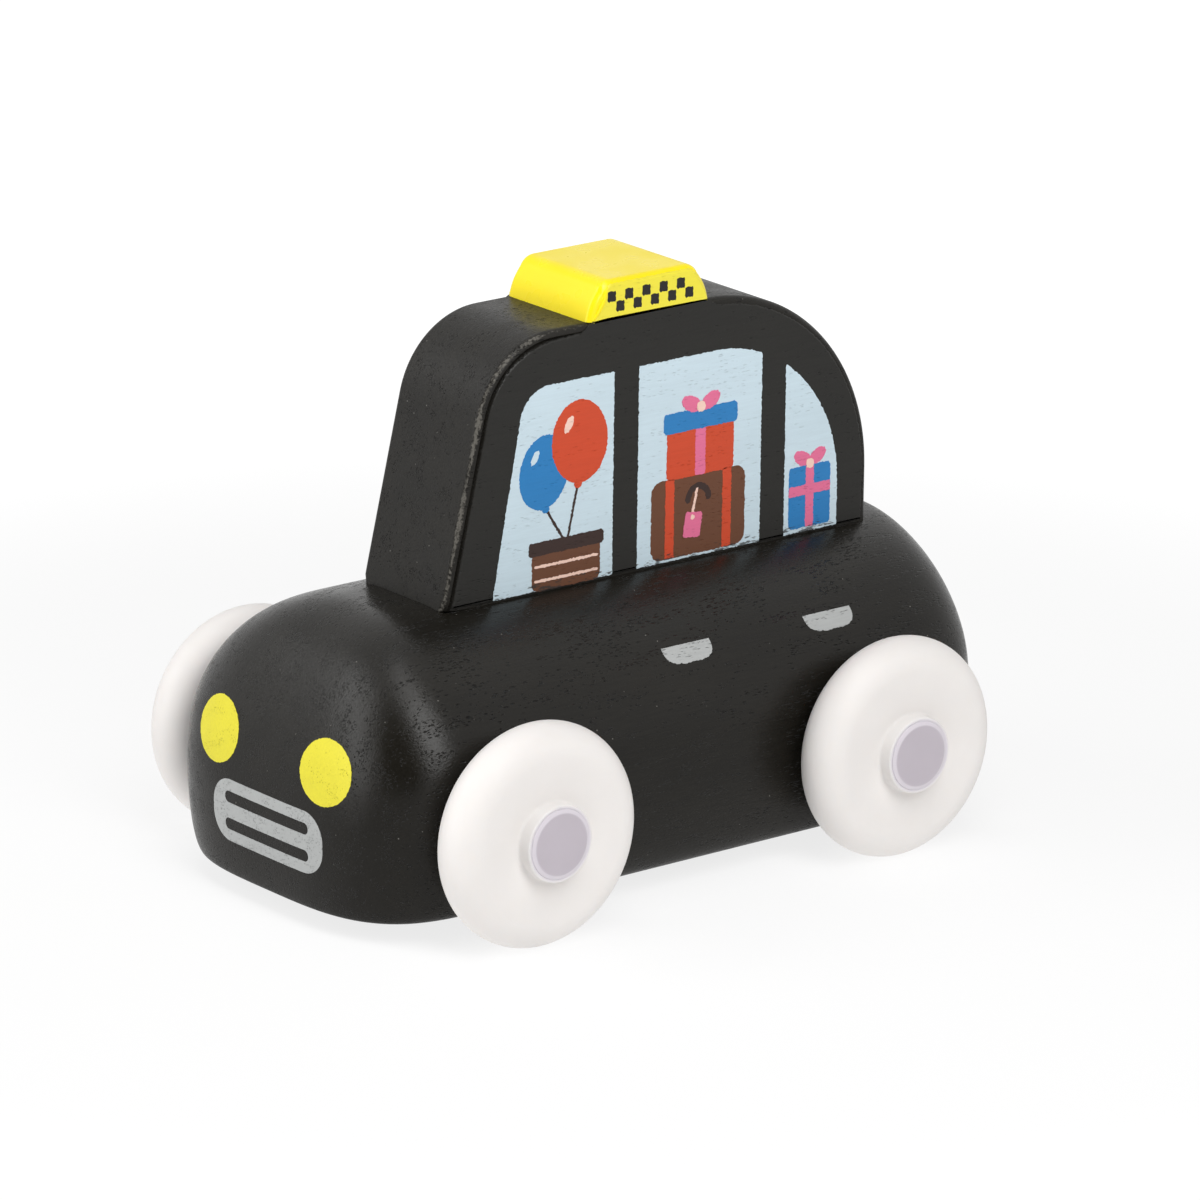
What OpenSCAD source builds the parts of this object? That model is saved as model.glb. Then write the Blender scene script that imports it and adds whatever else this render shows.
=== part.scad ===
// Toy taxi: a rolled-over wooden hull, an upright cabin slab with a roof sign, and two wheel sets.
// X points to the nose, Y to the left side and Z up. The floor is z = 0. Sizes are in millimetres.

/* [Hull] */
// Length of the hull from tail to nose
body_length = 91.6; // [86:0.2:110]
// Width of the hull between its flat sides
body_width = 45.2; // [42:0.2:50]
// Height of the hull's crest above the floor
body_top = 33.7; // [30:0.1:40]
// Gap between the hull's underside and the floor
ground_clearance = 2.5; // [1.5:0.1:5]
// How far the sides are drawn in at the underside
side_tuck = 2.7; // [0.5:0.1:3.5]
// How far the nose and the tail are drawn in at the underside
end_tuck = 0.8; // [0.2:0.1:2]
// Height over which the sides and ends are drawn in
tuck_height = 11; // [3:0.5:12]
// Height at which the nose starts to roll back
nose_rise = 12; // [8:0.5:20]
// Length of the roll from the nose up to the flat crest
nose_roll = 14.6; // [8:0.1:16]
// Height at which the tail starts to roll forward
tail_rise = 9.5; // [8:0.5:20]
// Length of the roll from the tail up to the flat crest
tail_roll = 6.5; // [4:0.1:6.8]
// Height at which the sides start to roll in
side_rise = 17.5; // [17.5:0.5:24]
// Width of the roll from each side in to the flat crest
side_roll = 18.8; // [12:0.1:18.8]
// Length of the rounded plan corners at the nose
nose_corner = 17.5; // [16:0.5:20]
// Length of the rounded plan corners at the tail
tail_corner = 17; // [12:0.5:17]
// Fullness of the plan corners, where 2 is an ellipse and more is squarer
corner_power = 3.5; // [3.4:0.1:5]
// Fullness of the rolls, where 2 is an ellipse and less is more bevelled
roll_power = 1.9; // [1.7:0.05:2.4]

/* [Cabin] */
// Thickness of the cabin slab
cabin_width = 15; // [12:0.5:18]
// Depth of the milled seat under the hull's crest
seat_depth = 0.5; // [0.3:0.1:1]
// Place of the windscreen's foot ahead of the hull's middle
windscreen_foot = 26.4; // [20:0.1:26.6]
// Lean of the windscreen from upright, in degrees
windscreen_lean = 13; // [8:0.5:18]
// Place of the cabin's back behind the hull's middle
cabin_back = 35.8; // [30:0.1:35.9]
// Height of the cabin from the hull's crest to the roof
cabin_height = 30; // [26:0.1:34]
// Radius between windscreen and roof
brow_radius = 11; // [6:0.5:14]
// Radius of the round back
back_radius = 24; // [16:0.5:26]

/* [Roof sign] */
// Length of the sign's foot
sign_length = 17.7; // [14:0.1:20]
// Height of the sign above the roof
sign_height = 4.5; // [3.5:0.1:6]
// Place of the sign's middle behind the hull's middle
sign_back = 3; // [0:0.1:3.5]
// Slope of the sign's ends from upright, in degrees
sign_slope = 26; // [10:1:35]
// Radius of the sign's upper corners
sign_round = 1.2; // [0.6:0.1:2]

/* [Wheels] */
// Distance between the two axles
wheelbase = 52.2; // [44:0.2:56]
// Place of the axles' midpoint ahead of the hull's middle
axle_shift = 1.85; // [-2:0.05:4]
// Diameter of the wheels
wheel_d = 26; // [22:0.2:30]
// Radius of the fully rounded rim
rim_round = 3.15; // [2.4:0.05:4]
// Depth of the shallow dish in both wheel faces
wheel_dish = 0.6; // [0.2:0.1:1.2]
// Gap between the hull's side and the wheel's rim
wheel_gap = 1.1; // [0.8:0.1:4]
// Diameter of the hub on the wheel's inner face
hub_d = 13; // [11:0.2:15]
// Chamfer around the outer mouth of the wheel's bore
bore_chamfer = 0.5; // [0.2:0.1:0.8]
// Diameter of the axles
axle_d = 8.2; // [6:0.1:9]
// Length of axle that stands out of the wheel's dish
axle_reach = 2; // [1:0.1:3]
// Chamfer on the axles' ends
axle_chamfer = 0.5; // [0.2:0.1:0.8]

/* [Joinery] */
// Diameter of the two cabin dowels
dowel_d = 6; // [4:0.5:8]
// Depth of the cabin dowels in the hull and in the cabin
dowel_depth = 9; // [6:0.5:10]
// Distance between the two cabin dowels
dowel_pitch = 36; // [20:1:40]
// Place of the dowels' midpoint behind the hull's middle
dowel_back = 6; // [0:0.5:10]
// Diameter of the sign's dowel
sign_dowel_d = 4; // [3:0.5:5]
// Depth of the sign's dowel in the cabin
sign_dowel_depth = 6; // [4:0.5:8]
// Wood left over the sign's dowel
sign_dowel_cover = 1.5; // [1:0.1:2]
// Chamfer on the dowels' ends
dowel_chamfer = 0.5; // [0.2:0.1:0.8]
// Space left at each blind end of a dowel
dowel_end_gap = 0.5; // [0.2:0.1:1]

/* [Transfers] */
// Thickness of the printed film
film_thickness = 0.1; // [0.05:0.01:0.2]
// Distance of the film's edge from the wood's edge
film_inset = 0.8; // [0.4:0.1:1.5]
// Gap between the film's foot and the hull
film_gap = 0.1; // [0.05:0.05:0.5]

/* [Fits] */
// Radial clearance of the axles in the hull
running_clearance = 0.08; // [0.04:0.01:0.1]
// Radial interference of the wheels on the axles
press_interference = 0.02; // [0.01:0.01:0.04]
// Radial clearance of the glued dowels
glue_clearance = 0.05; // [0.02:0.01:0.1]
// Clearance of the cabin in its milled seat
seat_clearance = 0.05; // [0.02:0.01:0.1]
// Gap between a wheel's hub and the hull's side
hub_clearance = 0.3; // [0.2:0.05:0.6]

/* [Hidden] */

// Steps along one plan corner and up the hull's height
corner_steps = 16;
height_steps = 24;
// Facets on exact round shapes
round_fn = 96;
// Overshoot of cutting shapes past the faces that they cut
cut = 1;

body_half_length = body_length / 2;
body_half_width = body_width / 2;
body_height = body_top - ground_clearance;
seat_z = body_top - seat_depth;
roof_z = body_top + cabin_height;
sign_top = roof_z + sign_height;

wheel_r = wheel_d / 2;
axle_r = axle_d / 2;
front_axle_x = axle_shift + wheelbase / 2;
rear_axle_x = axle_shift - wheelbase / 2;
wheel_mid = body_half_width + wheel_gap + rim_round;
hub_face = rim_round - wheel_dish;
axle_half_length = wheel_mid + hub_face + axle_reach;

front_dowel_x = dowel_pitch / 2 - dowel_back;
rear_dowel_x = -dowel_pitch / 2 - dowel_back;
sign_x = -sign_back;
sign_half = sign_length / 2;
sign_dowel_rise = sign_height - sign_dowel_cover;

paint_black = [0.09, 0.09, 0.09];
paint_yellow = [0.98, 0.88, 0.16];
wheel_white = [0.95, 0.93, 0.91];
axle_lilac = [0.75, 0.71, 0.76];
bare_wood = [0.85, 0.70, 0.50];
film_blue = [0.80, 0.90, 0.94];

// Size of the hull at height z: full size up to the rise, then a rolled quarter down to the crest's size
function rolled(z, rise, full, roll) =
    let (t = max(0, (z - rise) / (body_top - rise)))
    full - roll + roll * pow(max(0, 1 - pow(t, roll_power)), 1 / roll_power);

// Share of the tuck that draws the outline in at height z: all of it at the underside, none higher up
function tuck_share(z) =
    let (s = min(1, max(0, (z - ground_clearance) / tuck_height)))
    1 - sqrt(1 - pow(1 - s, 2));

// Height of the hull's rolled side at the distance y from its middle plane
function side_height(y) =
    let (share = (y - body_half_width + side_roll) / side_roll)
    side_rise + (body_top - side_rise) * pow(1 - pow(max(0, share), roll_power), 1 / roll_power);

// One plan corner, from the end's middle round to the flat side
function plan_corner(start, end, half_width) = [
    for (i = [0 : corner_steps])
        let (a = 90 * i / corner_steps, e = 2 / corner_power)
        [start + (end - start) * pow(cos(a), e), half_width * pow(sin(a), e)]
];

// Closed outline of the hull at height z, counter-clockwise from the middle of the nose
function plan_ring(z) =
    let (end_inset = end_tuck * tuck_share(z))
    let (half_width = rolled(z, side_rise, body_half_width, side_roll) - side_tuck * tuck_share(z))
    let (nose = plan_corner(body_half_length - nose_corner,
                            rolled(z, nose_rise, body_half_length, nose_roll) - end_inset, half_width))
    let (tail = plan_corner(body_half_length - tail_corner,
                            rolled(z, tail_rise, body_half_length, tail_roll) - end_inset, half_width))
    concat(
        [for (i = [0 : corner_steps]) [nose[i].x, nose[i].y, z]],
        [for (i = [corner_steps : -1 : 1]) [-tail[i].x, tail[i].y, z]],
        [for (i = [0 : corner_steps]) [-tail[i].x, -tail[i].y, z]],
        [for (i = [corner_steps : -1 : 1]) [nose[i].x, -nose[i].y, z]]
    );

// Heights of the outlines: one below the underside, then close together at both ends of the height
ring_heights = concat(
    [ground_clearance - cut],
    [for (i = [0 : height_steps]) ground_clearance + body_height * (1 - cos(180 * i / height_steps)) / 2]
);

// The hull's skin, lofted through its outlines
module hull_loft() {
    rings = [for (z = ring_heights) plan_ring(z)];
    n = len(rings[0]);
    top = len(rings) - 1;
    walls = [
        for (k = [0 : top - 1], i = [0 : n - 1], half = [0, 1])
            let (j = (i + 1) % n)
            half == 0
                ? [k * n + i, (k + 1) * n + i, (k + 1) * n + j]
                : [k * n + i, (k + 1) * n + j, k * n + j]
    ];
    underside = [for (i = [0 : n - 1]) i];
    crest = [for (i = [n - 1 : -1 : 0]) top * n + i];
    polyhedron([for (r = rings) each r], concat([underside, crest], walls), convexity = 4);
}

// Centre of the arc between a leaning edge and a level crest
function lean_centre(foot, base, lean, radius, crest) =
    [foot - (radius + (crest - radius - base) * sin(lean)) / cos(lean), crest - radius];

// Outline of the cabin slab in X and Z, drawn in from the wood's edge by inset and standing on base
module cabin_outline(base = seat_z, inset = 0) {
    crest = roof_z - inset;
    brow_r = brow_radius - inset;
    back_r = back_radius - inset;
    foot = windscreen_foot - inset / cos(windscreen_lean) - (base - seat_z) * tan(windscreen_lean);
    back = inset - cabin_back;
    brow = lean_centre(foot, base, windscreen_lean, brow_r, crest);
    rear = [back + back_r, crest - back_r];
    screen = brow + brow_r * [cos(windscreen_lean), sin(windscreen_lean)];
    intersection() {
        union() {
            polygon([
                [back, base], [foot, base], screen, brow, [brow.x, crest],
                [rear.x, crest], rear, [back, max(rear.y, base)]
            ]);
            translate(brow) circle(brow_r, $fn = round_fn);
            translate(rear) circle(back_r, $fn = round_fn);
        }
        translate([back, base]) square([foot - back, crest - base]);
    }
}

// Half of the sign's outline ahead of its middle
module sign_half_outline(base, inset) {
    foot = sign_half - inset / cos(sign_slope);
    r = sign_round;
    corner = lean_centre(foot, roof_z, sign_slope, r, sign_top - inset);
    slope = corner + r * [cos(sign_slope), sin(sign_slope)];
    low = foot + (roof_z - base) * tan(sign_slope);
    polygon([[0, base], [low, base], slope, corner, [corner.x, sign_top - inset], [0, sign_top - inset]]);
    translate(corner) circle(r, $fn = round_fn);
}

// Outline of the sign in X and Z, drawn in by inset and carried down to base
module sign_outline(base = roof_z, inset = 0) {
    translate([sign_x, 0]) {
        sign_half_outline(base, inset);
        mirror([1, 0]) sign_half_outline(base, inset);
    }
}

// Stands an outline in X and Z upright, with its thickness along Y from y0
module upright(y0, thickness) {
    translate([0, y0 + thickness, 0]) rotate([90, 0, 0]) linear_extrude(thickness) children();
}

// A round bar along Z from z = 0, with a chamfer at both ends
module chamfered_bar(radius, length, chamfer) {
    rotate_extrude($fn = round_fn) polygon([
        [0, 0], [radius - chamfer, 0], [radius, chamfer],
        [radius, length - chamfer], [radius - chamfer, length], [0, length]
    ]);
}

module axle(x) {
    color(axle_lilac)
        translate([x, -axle_half_length, wheel_r])
            rotate([-90, 0, 0]) chamfered_bar(axle_r, 2 * axle_half_length, axle_chamfer);
}

// A wheel about Z, with its outer face up and its middle plane at z = 0
module wheel_form() {
    bore_r = axle_r - press_interference;
    crest_r = wheel_r - rim_round;
    hub_end = wheel_mid - body_half_width - hub_clearance;
    rotate_extrude($fn = round_fn) {
        translate([crest_r, 0]) circle(rim_round, $fn = round_fn);
        polygon([
            [bore_r, -hub_end], [hub_d / 2, -hub_end], [hub_d / 2, -hub_face],
            [crest_r, -rim_round], [crest_r, rim_round],
            [bore_r + bore_chamfer, hub_face], [bore_r, hub_face - bore_chamfer]
        ]);
    }
}

// A wheel on the axle at x, where side is 1 on the left and -1 on the right
module wheel(x, side) {
    color(wheel_white)
        translate([x, side * wheel_mid, wheel_r]) rotate([-90 * side, 0, 0]) wheel_form();
}

module body_block() {
    color(paint_black) difference() {
        hull_loft();
        translate([-body_length, -body_width, -body_top])
            cube([2 * body_length, 2 * body_width, body_top + ground_clearance]);
        translate([-cabin_back - seat_clearance, -cabin_width / 2 - seat_clearance, seat_z])
            cube([cabin_back + windscreen_foot + 2 * seat_clearance, cabin_width + 2 * seat_clearance,
                  seat_depth + cut]);
        for (x = [front_axle_x, rear_axle_x])
            translate([x, -body_width, wheel_r]) rotate([-90, 0, 0])
                cylinder(r = axle_r + running_clearance, h = 2 * body_width, $fn = round_fn);
        for (x = [front_dowel_x, rear_dowel_x])
            translate([x, 0, seat_z - dowel_depth])
                cylinder(r = dowel_d / 2 + glue_clearance, h = dowel_depth + cut, $fn = round_fn);
    }
}

module cabin_block() {
    color(paint_black) difference() {
        upright(-cabin_width / 2, cabin_width) cabin_outline();
        for (x = [front_dowel_x, rear_dowel_x])
            translate([x, 0, seat_z - cut])
                cylinder(r = dowel_d / 2 + glue_clearance, h = dowel_depth + cut, $fn = round_fn);
        translate([sign_x, 0, roof_z - sign_dowel_depth])
            cylinder(r = sign_dowel_d / 2 + glue_clearance, h = sign_dowel_depth + cut, $fn = round_fn);
    }
}

module roof_sign() {
    color(paint_yellow) difference() {
        upright(-cabin_width / 2, cabin_width) sign_outline();
        translate([sign_x, 0, roof_z - cut])
            cylinder(r = sign_dowel_d / 2 + glue_clearance, h = sign_dowel_rise + cut, $fn = round_fn);
    }
}

module front_axle() { axle(front_axle_x); }
module rear_axle() { axle(rear_axle_x); }
module wheel_front_left() { wheel(front_axle_x, 1); }
module wheel_front_right() { wheel(front_axle_x, -1); }
module wheel_rear_left() { wheel(rear_axle_x, 1); }
module wheel_rear_right() { wheel(rear_axle_x, -1); }

module cabin_dowel(x) {
    color(bare_wood)
        translate([x, 0, seat_z - dowel_depth + dowel_end_gap])
            chamfered_bar(dowel_d / 2, 2 * (dowel_depth - dowel_end_gap), dowel_chamfer);
}

module cabin_dowel_front() { cabin_dowel(front_dowel_x); }
module cabin_dowel_rear() { cabin_dowel(rear_dowel_x); }

module sign_dowel() {
    color(bare_wood)
        translate([sign_x, 0, roof_z - sign_dowel_depth + dowel_end_gap])
            chamfered_bar(sign_dowel_d / 2, sign_dowel_depth + sign_dowel_rise - 2 * dowel_end_gap,
                          dowel_chamfer);
}

// The printed film on one side of cabin and sign, starting at y0
module side_transfer(y0) {
    color(film_blue) upright(y0, film_thickness) {
        cabin_outline(side_height(cabin_width / 2) + film_gap, film_inset);
        sign_outline(roof_z - film_inset - cut, film_inset);
    }
}

module side_transfer_left() { side_transfer(cabin_width / 2); }
module side_transfer_right() { side_transfer(-cabin_width / 2 - film_thickness); }

body_block();
cabin_block();
roof_sign();
front_axle();
rear_axle();
wheel_front_left();
wheel_front_right();
wheel_rear_left();
wheel_rear_right();
cabin_dowel_front();
cabin_dowel_rear();
sign_dowel();
side_transfer_left();
side_transfer_right();
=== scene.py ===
"""Toy taxi: the looks of a painted wooden push-along car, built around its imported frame.

X runs to the nose, Y to the left side and Z up, with the floor at z = 0. All lengths are in metres.
Each shape is worked out as whole numpy arrays and becomes one closed mesh at the origin.
"""

from math import cos, pi, radians, sin, tan

import bmesh
import bpy
import numpy as np
from bpy.props import FloatProperty, FloatVectorProperty, PointerProperty
from mathutils import Matrix, Vector


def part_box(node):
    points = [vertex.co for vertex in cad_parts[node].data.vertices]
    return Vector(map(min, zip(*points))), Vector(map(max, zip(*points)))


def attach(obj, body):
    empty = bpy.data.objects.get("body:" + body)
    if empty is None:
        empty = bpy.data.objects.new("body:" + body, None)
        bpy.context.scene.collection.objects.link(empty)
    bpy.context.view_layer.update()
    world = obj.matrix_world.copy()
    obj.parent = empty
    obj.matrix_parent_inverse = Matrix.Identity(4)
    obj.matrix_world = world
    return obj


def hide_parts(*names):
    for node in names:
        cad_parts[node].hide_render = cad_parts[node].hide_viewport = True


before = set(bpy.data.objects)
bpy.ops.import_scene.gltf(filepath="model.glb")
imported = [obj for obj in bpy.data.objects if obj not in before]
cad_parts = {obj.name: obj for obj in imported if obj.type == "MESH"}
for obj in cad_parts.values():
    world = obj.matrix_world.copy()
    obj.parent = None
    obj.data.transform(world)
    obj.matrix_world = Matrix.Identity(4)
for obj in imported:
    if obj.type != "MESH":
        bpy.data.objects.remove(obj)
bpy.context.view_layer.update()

bl_info = {
    "name": "Toy Taxi",
    "version": (1, 0, 0),
    "blender": (4, 5, 0),
    "location": "3D View > Sidebar > Toy Taxi",
    "description": "Builds a painted wooden toy taxi piece by piece around its packed frame",
    "category": "Add Mesh",
}

MM = 0.001
# Points closer than this are one point
WELD = 1e-6

HULL_LOW, HULL_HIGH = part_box("body_block")
CABIN_LOW, CABIN_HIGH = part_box("cabin_block")
SIGN_LOW, SIGN_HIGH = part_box("roof_sign")
FILM_LOW, FILM_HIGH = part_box("side_transfer_left")
SIDES = {"left": 1, "right": -1}
AXLES = ("front", "rear")


def linear(red, green, blue):
    """Scene-linear colour from screen values of 0 to 255."""
    share = np.array((red, green, blue)) / 255
    return tuple(np.where(share <= 0.04045, share / 12.92, ((share + 0.055) / 1.055) ** 2.4).tolist())


def length(label, text, millimetres):
    """A setting that is a length."""
    return FloatProperty(
        name=label, description=text, default=millimetres * MM, precision=5,
        subtype="DISTANCE", unit="LENGTH",
    )


def angle(label, text, degrees):
    """A setting that is an angle."""
    return FloatProperty(
        name=label, description=text, default=radians(degrees), subtype="ANGLE", unit="ROTATION"
    )


def number(label, text, value):
    """A setting that is a plain number."""
    return FloatProperty(name=label, description=text, default=value)


def colour(label, text, red, green, blue):
    """A setting that is a colour, given in screen values of 0 to 255."""
    return FloatVectorProperty(
        name=label, description=text, size=3, default=linear(red, green, blue), min=0, max=1, subtype="COLOR"
    )


class TOYTAXI_PG_hull(bpy.types.PropertyGroup):
    """Sizes and paint of the rolled-over hull."""

    half_length: length("Half length", "Reach of the hull ahead of and behind its middle", 45.8)
    side_tuck: length("Side tuck", "How far the sides are drawn in at the underside", 2.7)
    end_tuck: length("End tuck", "How far nose and tail are drawn in at the underside", 0.8)
    tuck_height: length("Tuck height", "Height over which the hull is drawn in", 11)
    nose_rise: length("Nose rise", "Height at which the nose starts to roll back", 12)
    nose_roll: length("Nose roll", "Length of the roll from the nose up to the crest", 14.6)
    tail_rise: length("Tail rise", "Height at which the tail starts to roll forward", 9.5)
    tail_roll: length("Tail roll", "Length of the roll from the tail up to the crest", 6.5)
    side_rise: length("Side rise", "Height at which the sides start to roll in", 17.5)
    side_roll: length("Side roll", "Width of the roll from a side in to the crest", 18.8)
    nose_corner: length("Nose corner", "Length of the plan corners at the nose", 17.5)
    tail_corner: length("Tail corner", "Length of the plan corners at the tail", 17)
    corner_power: number("Corner power", "Fullness of the plan corners, where 2 is an ellipse", 3.5)
    roll_power: number("Roll power", "Fullness of the rolls, where 2 is an ellipse", 1.9)
    bore_radius: length("Bore radius", "Radius of the two axle bores", 4.18)
    paint: colour("Paint", "Black paint of the hull", 27, 25, 21)


class TOYTAXI_PG_cabin(bpy.types.PropertyGroup):
    """Sizes and paint of the upright cabin slab."""

    windscreen_lean: angle("Windscreen lean", "Lean of the windscreen from upright", 13)
    brow_radius: length("Brow radius", "Radius between windscreen and roof", 11)
    back_radius: length("Back radius", "Radius of the round back", 24)
    edge_round: length("Edge rounding", "Radius of the sanded rims", 0.75)
    toe_lift: length("Toe lift", "How far the foot's front end is sanded up", 0.25)
    toe_length: length("Toe length", "Length of the foot that is sanded up", 7)
    toe_round: length("Toe rounding", "How far the foot's two front corners are drawn in", 0.7)
    groove_wide: length("Groove width", "Width of the groove between a rim and the film", 0.5)
    groove_deep: length("Groove depth", "Depth of the groove between a rim and the film", 0.5)
    paint: colour("Paint", "Black paint of the cabin", 26, 24, 20)
    # The lighter rim colour is partly rub marks and partly a painted highlight on the rounded rims.
    rubbed: colour("Rubbed paint", "Paint where a rim has been rubbed", 96, 93, 87)


class TOYTAXI_PG_sign(bpy.types.PropertyGroup):
    """Sizes and paint of the roof sign."""

    slope: angle("Slope", "Slope of the sign's ends from upright", 26)
    corner_round: length("Corner rounding", "Radius of the upper corners", 2.0)
    edge_round: length("Edge rounding", "Radius of the softened rims", 0.8)
    bulge: length("Bulge", "How far the sign's ends swell between foot and top", 0.25)
    lap_height: length("Lap height", "Height of the paint's lap beside the printed sides", 0.16)
    check: length("Check size", "Size of the squares in the checked band", 1.25)
    paint: colour("Paint", "Yellow paint of the sign", 252, 230, 6)


class TOYTAXI_PG_prints(bpy.types.PropertyGroup):
    """Sizes and inks of the printed film and of the prints on the hull."""

    film_inset: length("Film inset", "Distance of the film's edge from the cabin's edge", 1.2)
    sign_inset: length("Sign film inset", "Distance of the film's edge from the sign's edge", 0.4)
    film_soft: length("Film softness", "Width over which the film's edge runs down to the wood", 0.2)
    window_top: length("Window top", "Height of the windows' level top", 57.5)
    pillar_width: length("Pillar width", "Width of the two pillars between the windows", 3.6)
    lamp_wide: length("Lamp half width", "Half width of a headlamp", 4.06)
    lamp_tall: length("Lamp half height", "Half height of a headlamp", 3.66)
    lamp_apart: length("Lamp distance", "Distance of a headlamp from the middle", 9.9)
    lamp_height: length("Lamp height", "Height of the headlamps", 18.9)
    print_shift: length("Print shift", "How far the grille is printed off the middle", 0.6)
    grille_height: length("Grille height", "Height of the grille's middle", 10.4)
    grille_wide: length("Grille half width", "Half width of the grille", 10.05)
    grille_tall: length("Grille half height", "Half height of the grille", 3.65)
    handle_top: length("Handle top", "Height of the door handles' straight edge", 27.6)
    handle_drop: length("Handle drop", "Height of the door handles", 1.8)
    handle_wide: length("Handle half width", "Half width of a door handle", 3.5)
    film_black: colour("Film black", "Black ink of the film", 30, 29, 26)
    glass_blue: colour("Glass blue", "Pale blue ink of the windows", 201, 219, 228)
    sign_ink: colour("Sign ink", "Yellow ink on the sign's sides", 238, 225, 66)
    check_ink: colour("Check ink", "Dark ink of the checked band", 36, 34, 33)
    lamp_ink: colour("Lamp ink", "Yellow ink of the headlamps", 229, 218, 58)
    silver_ink: colour("Silver ink", "Grey ink of grille and door handles", 177, 179, 178)
    balloon_red: colour("Balloon red", "Rust red ink of balloon, straps and box", 205, 74, 42)
    balloon_blue: colour("Balloon blue", "Strong blue ink of balloon, lid and box", 43, 124, 186)
    case_brown: colour("Case brown", "Brown ink of suitcase and basket", 104, 66, 46)
    ribbon_pink: colour("Ribbon pink", "Pink ink of ribbons and tag", 226, 112, 150)
    trim_peach: colour("Trim peach", "Pale peach ink of knots and weave", 243, 206, 190)
    string_brown: colour("String brown", "Dark brown ink of strings, rim and handle", 58, 42, 38)


class TOYTAXI_PG_wheels(bpy.types.PropertyGroup):
    """Sizes and plastics of wheels and axles."""

    rim_round: length("Rim rounding", "Radius of the fully rounded rim", 3.15)
    dish: length("Dish", "Depth of the shallow dish in a wheel's faces", 0.6)
    hub_radius: length("Hub radius", "Radius of the hub on the inner face", 6.5)
    bore_radius: length("Bore radius", "Radius of the wheel's bore", 4.08)
    axle_chamfer: length("Axle chamfer", "Width of the shallow chamfer on the axles' ends", 0.5)
    collar_wall: length("Collar wall", "Thickness of the soft collar around an axle's end", 0.4)
    collar_drop: length("Collar drop", "Distance of the collar's crest behind the axle's end", 0.2)
    plastic: colour("Wheel plastic", "Warm white plastic of the wheels", 237, 233, 230)
    axle_face: colour("Axle face", "Lilac plastic on the axles' end faces", 192, 184, 192)
    axle_side: colour("Axle side", "Lighter lilac where the axles' edges let light through", 224, 217, 224)


class TOYTAXI_PG_stage(bpy.types.PropertyGroup):
    """Camera and studio light."""

    azimuth: angle("Azimuth", "Direction of the camera, from the nose towards the left side", 51.105)
    elevation: angle("Elevation", "Height of the camera above the horizon", 17.305)
    roll: angle("Roll", "Turn of the camera about its line of sight", 0.715)
    distance: length("Distance", "Distance of the camera from the point it looks at", 1003.282)
    lens: number("Lens", "Focal length in millimetres on a 36 mm sensor", 262.14)
    key_light: number("Key light", "Radiance of the softbox on the left side", 5.0)
    nose_light: number("Nose light", "Radiance of the strip ahead of the nose", 3.6)
    top_light: number("Top light", "Radiance of the softbox overhead", 3.3)
    fill_light: number("Fill light", "Radiance of the room on matt surfaces", 0.18)


class TOYTAXI_PG_settings(bpy.types.PropertyGroup):
    """All settings of the toy taxi."""

    hull: PointerProperty(type=TOYTAXI_PG_hull)
    cabin: PointerProperty(type=TOYTAXI_PG_cabin)
    sign: PointerProperty(type=TOYTAXI_PG_sign)
    prints: PointerProperty(type=TOYTAXI_PG_prints)
    wheels: PointerProperty(type=TOYTAXI_PG_wheels)
    stage: PointerProperty(type=TOYTAXI_PG_stage)


def grid_quads(rows, columns, close_rows=False, close_columns=False):
    """Corner numbers of the quads in a grid. A closed direction joins its end to its start."""
    row = np.arange(rows if close_rows else rows - 1)[:, None]
    column = np.arange(columns if close_columns else columns - 1)[None, :]
    next_row = (row + 1) % rows
    next_column = (column + 1) % columns
    corners = (
        row * columns + column,
        row * columns + next_column,
        next_row * columns + next_column,
        next_row * columns + column,
    )
    return np.stack(corners, -1).reshape(-1, 4)


def open_edges(quads):
    """The edges that only one quad has, as pairs of corner numbers."""
    pairs = np.stack([quads, np.roll(quads, -1, axis=1)], -1).reshape(-1, 2)
    _, first, count = np.unique(np.sort(pairs, axis=1), axis=0, return_index=True, return_counts=True)
    return pairs[first[count == 1]]


def along(path, count):
    """A path resampled to count points at even distances along its length."""
    steps = np.linalg.norm(np.diff(path, axis=0), axis=1)
    travel = np.concatenate([[0], np.cumsum(steps)])
    wanted = np.linspace(0, travel[-1], count)
    return np.stack([np.interp(wanted, travel, path[:, k]) for k in range(path.shape[1])], -1)


def arc(centre, radius, start, end, count):
    """Points of a circle's arc from the angle start to the angle end."""
    turn = np.linspace(start, end, count)
    return np.asarray(centre) + radius * np.stack([np.cos(turn), np.sin(turn)], -1)


def chain(*runs):
    """The points of several runs in X and Z, one after another."""
    return np.concatenate([np.asarray(run, float) for run in runs])


def even_run(path, count):
    """A path at even steps, with the unit directions along it and to its left."""
    even = along(np.asarray(path, float), count)
    run = np.gradient(even, axis=0)
    run /= np.linalg.norm(run, axis=1, keepdims=True)
    return even, run, np.stack([-run[:, 1], run[:, 0]], -1)


def turned(flat, lean):
    """Points in X and Z, turned back about the origin by an angle."""
    return flat @ np.array([(cos(lean), sin(lean)), (-sin(lean), cos(lean))])


def superellipse(t, power):
    """Height of a superellipse's quarter at t from 0 to 1: (1 - t^p)^(1/p)."""
    return (1 - t**power) ** (1 / power)


def axle_line(node):
    """Place of a wheel's or an axle's line in X and Z: the middle of its box."""
    low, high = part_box(node)
    return np.array(((low.x + high.x) / 2, (low.z + high.z) / 2))


def end_caps(rows, columns):
    """The faces that close the first and the last row of a grid, as corner numbers."""
    row = np.arange(columns)
    return row, (rows - 1) * columns + row[::-1]


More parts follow.
